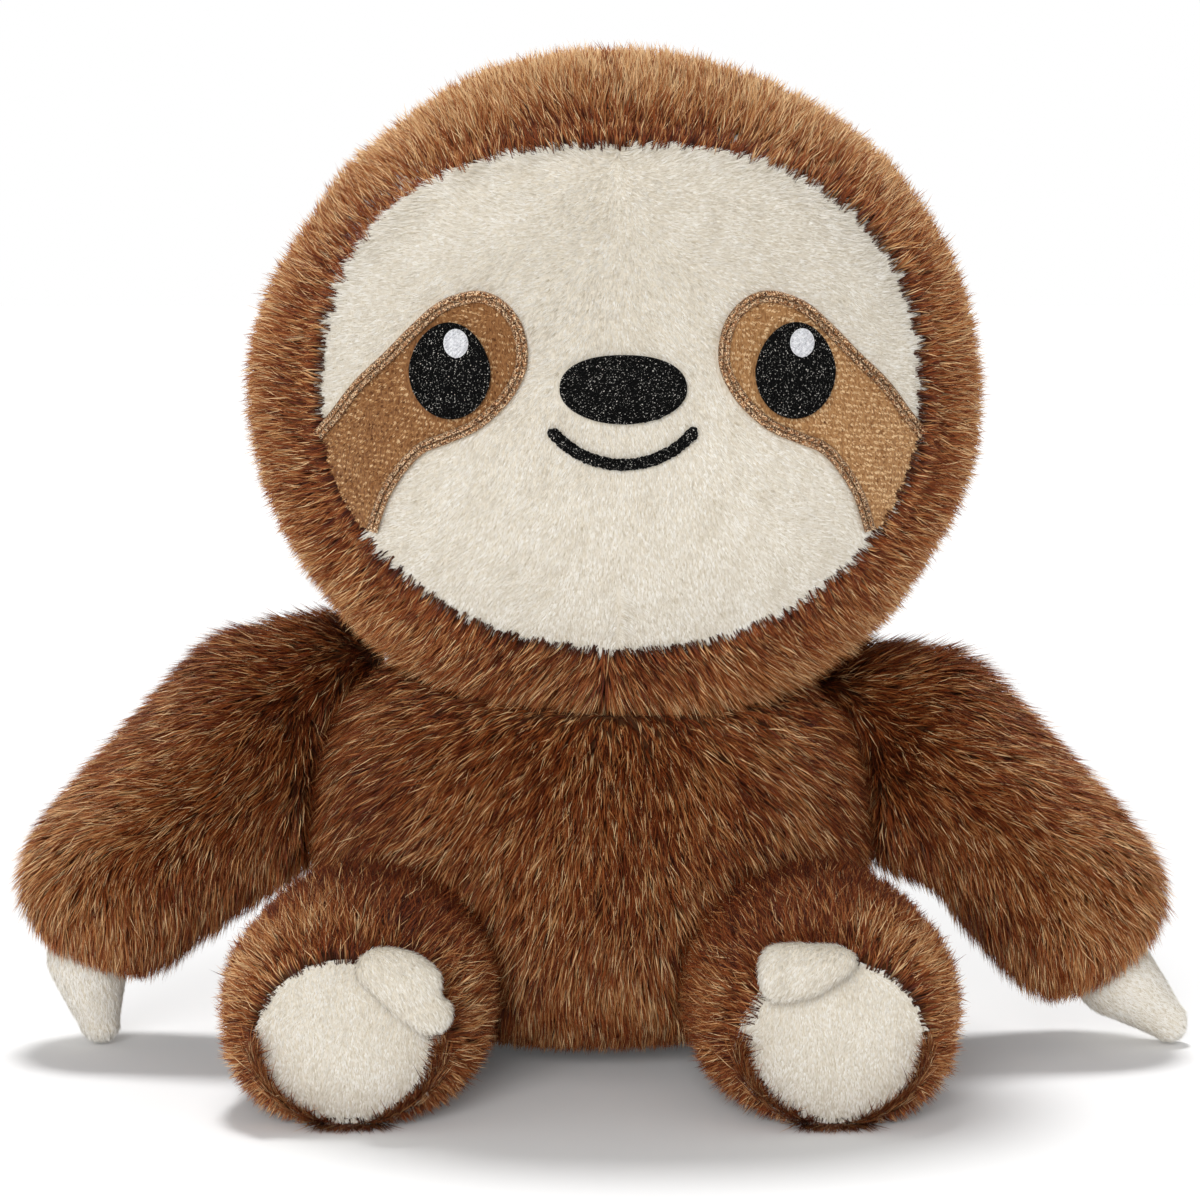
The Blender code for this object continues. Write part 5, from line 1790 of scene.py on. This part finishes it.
@dataclass
class Arm:
    """A sleeve with its fur and filling, and the claw."""

    form: ArmForm
    body: BodyForm
    inset: float = 0.0050
    backing: float = 0.0009
    filling_inset: float = 0.0067
    bury: float = 0.0045

    def flow(self, places: Array, normals: Array) -> Array:
        """Outwards and a little down at the shoulder, steeper towards the hand and on the underside."""
        share, over = self.form.along(places)
        angle = np.radians(20.0 + 42.0 * share**2 + 30.0 * (0.2 - over).clip(0.0, 1.2))
        way = stacked(np.cos(angle) * self.form.side.value, -0.1, -np.sin(angle))
        swing = 0.2 * Waves(9, 0.03).at(places) + 0.1 * Waves(10, 0.012).at(places)
        return swung(along_surface(way, normals), normals, swing)

    def shade(self, places: Array) -> Array:
        """Painted shade at the shoulder under the head and on the underside, painted light along the top and
        the outer side.
        """
        share, over = self.form.along(places)
        outer = ease(np.abs(places[:, 0]), 0.100, 0.140)
        # Painted light and shade: darker near the shoulder and below the middle line, lighter on top and on
        # the outer side.
        along = 0.31 + 0.11 * ease(share, 0.1, 0.7)
        return along + 0.05 * ease(over, -0.2, 0.7) + 0.12 * outer + 0.05 * Waves(12, 0.02).at(places)

    def build(self, shop: Workshop) -> None:
        """Builds and dresses the arm."""
        word = self.form.side.word
        outer = self.form.grid(self.inset, 56, self.body.side_at)
        cover = Surface.shell(outer, self.form.grid(self.inset + self.backing, 56, self.body.side_at), True)
        body = f"arm_{word}"
        name = f"arm_cover_{word}"
        shop.surface(f"{name}_cloth", name, cover, FUR_BACKING, body, "fur", 0.9)
        ground = Surface.sheet(outer, True, outer.reshape(-1, 3).mean(axis=0))
        claw = Claw(self.form.side, self.form)
        wrist = self.form.world(claw.wrist)

        def keep(places: Array) -> Array:
            """Not in the body nor where the claw comes out."""
            out = np.abs(places[:, 0]) > self.body.side_at(places[:, 1], places[:, 2]) - self.bury
            return out & (np.linalg.norm(places - wrist, axis=1) > claw.ball - 0.0015)

        def share(places: Array) -> Array:
            """Shorter strands where the claw comes out, longer ones on top of the shoulder."""
            near = ease(np.linalg.norm(places - wrist, axis=1), claw.ball, claw.ball + 0.012)
            along, over = self.form.along(places)
            return 0.75 + 0.25 * near + 0.35 * (1.0 - ease(along, 0.12, 0.34)) * ease(over, 0.4, 0.9)

        made = LIMB_PILE.grow(ground, self.flow, self.shade, 111, keep, share)
        shop.strands(f"arm_fur_{word}", made, FUR, body)
        filling = Surface.solid(self.form.grid(self.filling_inset, 40, self.body.side_at))
        shop.surface(f"arm_filling_{word}", f"arm_stuffing_{word}", filling, FIBRE, body, "filling", 0.9)
        claw.build(shop)


@dataclass
class Toe:
    """A flat stuffed toe folded along the upper inner edge of the sole."""

    leg: LegForm
    half_width: float = 0.0072
    half_thickness: float = 0.0042
    gap: float = 0.0003
    line_right: tuple[tuple[float, float, float], ...] = (
        (0.14, 0.84, 0.52), (0.42, 0.85, 0.88), (0.76, 0.68, 1.08), (0.94, 0.40, 0.95),
        (0.94, 0.14, 0.70),
    )
    line_left: tuple[tuple[float, float, float], ...] = (
        (-0.20, 0.99, 0.44), (0.06, 0.95, 0.68), (0.36, 0.87, 0.94), (0.66, 0.84, 1.00),
        (0.91, 0.83, 0.96),
    )
    notch_place: float = 0.67
    notch_depths: tuple[float, float] = (0.0, 0.36)
    notch_reach: float = 0.055
    nap_depth: float = 0.0004

    def grid(self, inset: float, sides: int) -> Array:
        """Rings across the toe in the object's frame, full in the middle and round at both ends."""
        size = self.leg.sole_half_width
        shares = self.leg.side.pick((self.line_left, self.line_right))
        known = [(size * x, size * z, self.half_width * wide) for x, z, wide in shares]
        line = smooth_line(known, 80)
        run = (1.0 - np.cos(np.linspace(0.0, math.pi, 30))) / 2.0
        at = stacked(*(np.interp(run, np.linspace(0.0, 1.0, 80), line[:, k]) for k in range(3)))
        along = unit(np.gradient(at[:, :2], axis=0))
        plump = np.sqrt(np.clip(1.0 - (2.0 * run - 1.0) ** 6, 0.0, 1.0))[1:-1, None]
        at, along = at[1:-1], along[1:-1]
        turn = around(sides)
        fold = np.exp(-(((run[1:-1, None] - self.notch_place) / self.notch_reach) ** 2))
        outer = 1.0 - self.leg.side.pick(self.notch_depths) * fold * np.cos(turn).clip(0.0) ** 2
        wide = (at[:, 2:] * plump - inset).clip(0.0002) * np.cos(turn) * outer
        thick = (self.half_thickness * plump * (1.0 - 0.22 * fold) - inset).clip(0.0002) * np.sin(turn)
        depth = -(self.gap + self.half_thickness)
        x, z = at[:, :1] - along[:, 1:] * wide, at[:, 1:2] + along[:, :1] * wide
        inward = np.array([-self.leg.side.value, 1.0, 1.0])
        middle = self.leg.world(self.leg.sole_middle)
        return stacked(x, depth + thick, z) * inward + middle

    def flow(self, places: Array, normals: Array) -> Array:
        """Inwards and down."""
        return np.broadcast_to([-0.5 * self.leg.side.value, -0.1, -0.9], places.shape)

    def shade(self, places: Array) -> Array:
        """Cream with soft patches."""
        return 0.64 + 0.08 * Waves(36, 0.008).at(places)

    def build(self, shop: Workshop) -> None:
        """Builds and dresses the toe."""
        word = self.leg.side.word
        grid = self.grid(self.nap_depth, 32)
        name, body = f"toe_claw_{word}", f"toe_{word}"
        skin = Surface.solid(grid)
        shop.surface(f"{name}_cloth", name, skin, CREAM_BACKING, body, "cream_plush", 0.8)
        ground = Surface.sheet(grid, True, grid.reshape(-1, 3).mean(axis=0))
        made = NAP.grow(ground, self.flow, self.shade, 64)
        shop.strands(f"{name}_nap", made, CREAM_PLUSH, body)


@dataclass
class Leg:
    """A stub leg with its fur and filling, the sole set in its front, and the toe."""

    form: LegForm
    body: BodyForm
    inset: float = 0.0050
    backing: float = 0.0009
    filling_inset: float = 0.0067
    nap_depth: float = 0.0006
    sole_room: float = 0.0009
    sole_shift: float = 0.0009

    def flow(self, places: Array, normals: Array) -> Array:
        """Outwards from the sole over the front, then back along the leg."""
        local = self.form.local(places)
        out = stacked(local[:, 0] - self.form.splay, 0.0, local[:, 2] - self.form.sole_rise)
        way = (unit(out) + np.array([0.0, 0.7, 0.0])) * self.form.side.mirror
        way[:, 2] *= np.where(way[:, 2] < 0, ease(places[:, 2], -0.004, 0.014), 1.0)
        swing = 0.18 * Waves(13, 0.025).at(places) + 0.1 * Waves(14, 0.012).at(places)
        return swung(along_surface(way, normals), normals, swing)

    def shade(self, places: Array) -> Array:
        """Painted shade in the hollow at the sole's edge and over the leg's top, painted golden light on the
        outer front, plain brown along the leg.
        """
        local = self.form.local(places)
        ring = ease(self.form.from_sole(places), 1.04, 1.30)
        front = ease(-local[:, 1], 0.026, 0.050)
        outer = ease(local[:, 0], -0.010, 0.020)
        high = ease(local[:, 2], 0.002, 0.020)
        # Painted light and shade: darker round the sole's edge and on top, lighter and golden on the outer
        # front.
        golden = 0.09 * outer + (0.13 + 0.18 * outer) * ring
        return 0.33 + front * golden - 0.19 * high * (1.0 - 0.3 * outer) + 0.05 * Waves(15, 0.02).at(places)

    def stand(self, places: Array) -> Array:
        """Steeper round the sole, so that tips face forwards."""
        local = self.form.local(places)
        near = 1.0 - ease(self.form.from_sole(places), 1.05, 1.55)
        return 0.30 * near * ease(-local[:, 1], 0.030, 0.050)

    def keep(self, places: Array) -> Array:
        """Not in the body, nor right on the floor."""
        out = np.abs(places[:, 0]) > self.body.side_at(places[:, 1], places[:, 2]) - 0.003
        front = places[:, 1] < self.form.hip[1] + 0.012
        return (front | out) & (places[:, 2] > 0.0018)

    def share(self, places: Array) -> Array:
        """Shorter strands next to the floor and round the sole."""
        front = ease(self.form.place[1] - places[:, 1], 0.036, 0.052)
        low = 1.0 - ease(places[:, 2], 0.002, 0.016)
        return (1.0 - 0.2 * low) * (1.0 - 0.25 * front * (1.0 - low))

    def fringe(self, shop: Workshop) -> None:
        """Fur that comes out from under the sole: it stands on a narrow ring round the sole's lower edge."""
        turn = np.linspace(1.04 * math.pi, 1.96 * math.pi, 60)[None, :]
        row = np.linspace(0.0, 1.0, 4)[:, None]
        room = self.sole_room + 0.0005 + 0.0020 * row
        x = (self.form.sole_half_width + room) * np.cos(turn)
        y = 0.0008 + 0.0032 * row
        z = (self.form.sole_half_height + room - 0.7 * self.sole_room) * np.sin(turn)
        middle = self.form.sole_middle - np.array([self.sole_shift, 0.0, 0.0])
        middle = self.form.world(middle)
        grid = stacked(x, y, z) + middle
        grid[..., 2] = np.maximum(grid[..., 2], 0.0003)
        ground = Surface.sheet(grid, False, middle + np.array([0.0, 0.01, 0.004]))

        def flow(places: Array, normals: Array) -> Array:
            """Forwards and sideways."""
            return stacked((places[:, 0] - middle[0]) / self.form.sole_half_width, -1.2, 0.0)

        made = FRINGE.grow(ground, flow, self.shade, 127)
        shop.strands(f"leg_fringe_{self.form.side.word}", made, FUR, f"leg_{self.form.side.word}")

    def build(self, shop: Workshop) -> None:
        """Builds and dresses the leg."""
        word = self.form.side.word
        end = self.form.length - 0.0012
        outer = self.form.grid(self.inset, 64, end, 0.0008)
        inner = self.form.grid(self.inset + self.backing, 64, end, 0.0)
        body = f"leg_{word}"
        name = f"leg_cover_{word}"
        cover = Surface.shell(outer, inner, True)
        shop.surface(f"{name}_cloth", name, cover, FUR_BACKING, body, "fur", 0.9)
        rooted = self.form.grid(self.inset, 64, self.form.length + 0.0004, -0.0007)
        ground = Surface.sheet(rooted, True, outer.reshape(-1, 3).mean(axis=0))
        made = LEG_PILE.grow(ground, self.flow, self.shade, 121, self.keep, self.share, self.stand)
        shop.strands(f"leg_fur_{word}", made, FUR, body)
        filling = Surface.solid(self.form.grid(self.filling_inset, 40, self.form.length - 0.0042, -0.0006))
        shop.surface(f"leg_filling_{word}", f"leg_stuffing_{word}", filling, FIBRE, body, "filling", 0.9)
        self.build_sole(shop, word, body)
        self.fringe(shop)
        Toe(self.form).build(shop)

    def sole_front(self, inset: float, rows: int, sides: int) -> Array:
        """The sole's domed front: rings from its middle, y by one less the square of the share."""
        turn = around(sides)
        share = np.linspace(0.0, 1.0, rows)[:, None]
        x = share * ((self.form.sole_half_width + self.sole_room) * np.cos(turn) - self.sole_shift)
        z = share * (self.form.sole_half_height + 0.3 * self.sole_room) * np.sin(turn)
        y = inset - self.form.sole_dome * (1.0 - share**2)
        return self.form.world(stacked(x, y, z) + self.form.sole_middle)

    def build_sole(self, shop: Workshop, word: str, body: str) -> None:
        """The cream sole with its nap, combed down and outwards at its edge."""
        front = self.sole_front(self.nap_depth, 20, 72)
        back = self.sole_front(self.nap_depth, 20, 72)
        middle = self.form.world(self.form.sole_middle)
        back[..., 1] = middle[1] + self.form.sole_thickness
        name = f"sole_pad_{word}"
        pad = Surface.shell(front, back, True)
        shop.surface(f"{name}_cloth", name, pad, CREAM_BACKING, body, "cream_plush", 0.85)
        ground = Surface.sheet(front, True, middle + np.array([0.0, 0.02, 0.0]))
        half = np.array([self.form.sole_half_width, self.form.sole_half_height])

        def flow(places: Array, normals: Array) -> Array:
            """Down over the middle, outwards at the edge."""
            flat = places[:, [0, 2]] - middle[[0, 2]]
            rim = ease(np.linalg.norm(flat / half, axis=1), 0.8, 1.0)[:, None]
            out = unit(stacked(flat[:, 0], 0.0, flat[:, 1]))
            return swung(along_surface(rim * out - UP, normals), normals, 0.3 * Waves(37, 0.01).at(places))

        def shade(places: Array) -> Array:
            """Cream with soft patches."""
            return 0.74 + 0.08 * Waves(38, 0.01).at(places)

        def share(places: Array) -> Array:
            """Longer strands at the edge, most of all at its inner and lower side."""
            flat = (places[:, [0, 2]] - middle[[0, 2]]) / half
            rim = ease(np.linalg.norm(flat, axis=1), 0.82, 1.0)
            inward = (0.5 - 0.55 * flat[:, 0] * self.form.side.value - 0.45 * flat[:, 1]).clip(0.0, 1.2)
            return 0.85 + 0.45 * rim * inward

        made = NAP.grow(ground, flow, shade, 65, None, share)
        shop.strands(f"{name}_nap", made, CREAM_PLUSH, body)


@dataclass
class Studio:
    """The floor, the lamps, the world and the camera."""

    target: tuple[float, float, float] = (0.0022, 0.0, 0.113)
    distance: float = 1.2
    elevation: float = math.radians(7)
    lens: float = 145.44
    sensor: float = 36.0
    world_light: float = 0.38
    lamps: tuple[tuple[str, tuple[float, float, float], float, float], ...] = (
        ("lamp_above", (-0.05, 0.36, 1.0), 2.05, 12.0),
        ("lamp_front", (-0.20, -1.0, 0.38), 1.50, 30.0),
    )

    def camera(self) -> None:
        """The camera, level with the middle and a little above, looking along +Y."""
        data = bpy.data.cameras.new("camera")
        data.sensor_width = self.sensor
        data.lens = self.lens
        data.clip_start = 0.01
        camera = bpy.data.objects.new("camera", data)
        way = np.array([0.0, math.cos(self.elevation), -math.sin(self.elevation)])
        camera.location = np.array(self.target) - self.distance * way
        camera.rotation_euler = (math.pi / 2 - self.elevation, 0.0, 0.0)
        bpy.context.scene.collection.objects.link(camera)
        bpy.context.scene.camera = camera

    def lights(self) -> None:
        """Wide soft lamps, even over the floor, and a pale world that is white to the camera."""
        for name, place, energy, spread in self.lamps:
            data = bpy.data.lights.new(name, "SUN")
            data.energy = energy
            data.angle = math.radians(spread)
            lamp = bpy.data.objects.new(name, data)
            lamp.location = place
            lamp.rotation_euler = (-Vector(place)).to_track_quat("-Z", "Y").to_euler()
            bpy.context.scene.collection.objects.link(lamp)
        world = bpy.data.worlds.new("studio")
        world.use_nodes = True
        world.node_tree.nodes.clear()
        shader = Shader(world.node_tree)
        seen = shader.add("ShaderNodeLightPath", None, None, "Is Camera Ray")
        glossy = shader.add("ShaderNodeLightPath", None, None, "Is Glossy Ray")
        strength = (seen + glossy * 0.3) * (1.0 - self.world_light) + self.world_light
        glow = {"Color": (1.0, 1.0, 1.0, 1.0), "Strength": strength}
        light = shader.add("ShaderNodeBackground", None, glow)
        shader.output(light, "ShaderNodeOutputWorld")
        bpy.context.scene.world = world

    def floor(self, shop: Workshop) -> None:
        """A wide plain floor."""
        corners = np.array([[-3.0, -3.0, 0.0], [3.0, -3.0, 0.0], [3.0, 3.0, 0.0], [-3.0, 3.0, 0.0]])
        shop.piece("floor", corners, np.array([[0, 1, 2], [0, 2, 3]]), FloorFinish())

    def build(self, shop: Workshop) -> None:
        """Sets the studio up."""
        bpy.context.scene.view_settings.view_transform = "Standard"
        self.camera()
        self.lights()
        self.floor(shop)


def main() -> None:
    """Builds the studio and the sub-assemblies in order."""
    logging.basicConfig(level=logging.INFO, format="%(message)s")
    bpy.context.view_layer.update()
    shop = Workshop()
    Studio().build(shop)
    head = HeadForm()
    body = BodyForm(head=head)
    Body(body).build(shop)
    Head(head).build(shop)
    Face(head).build(shop)
    for side in Side:
        Arm(ArmForm(side), body).build(shop)
        Leg(LegForm(side), body).build(shop)


if __name__ == "__main__":
    main()
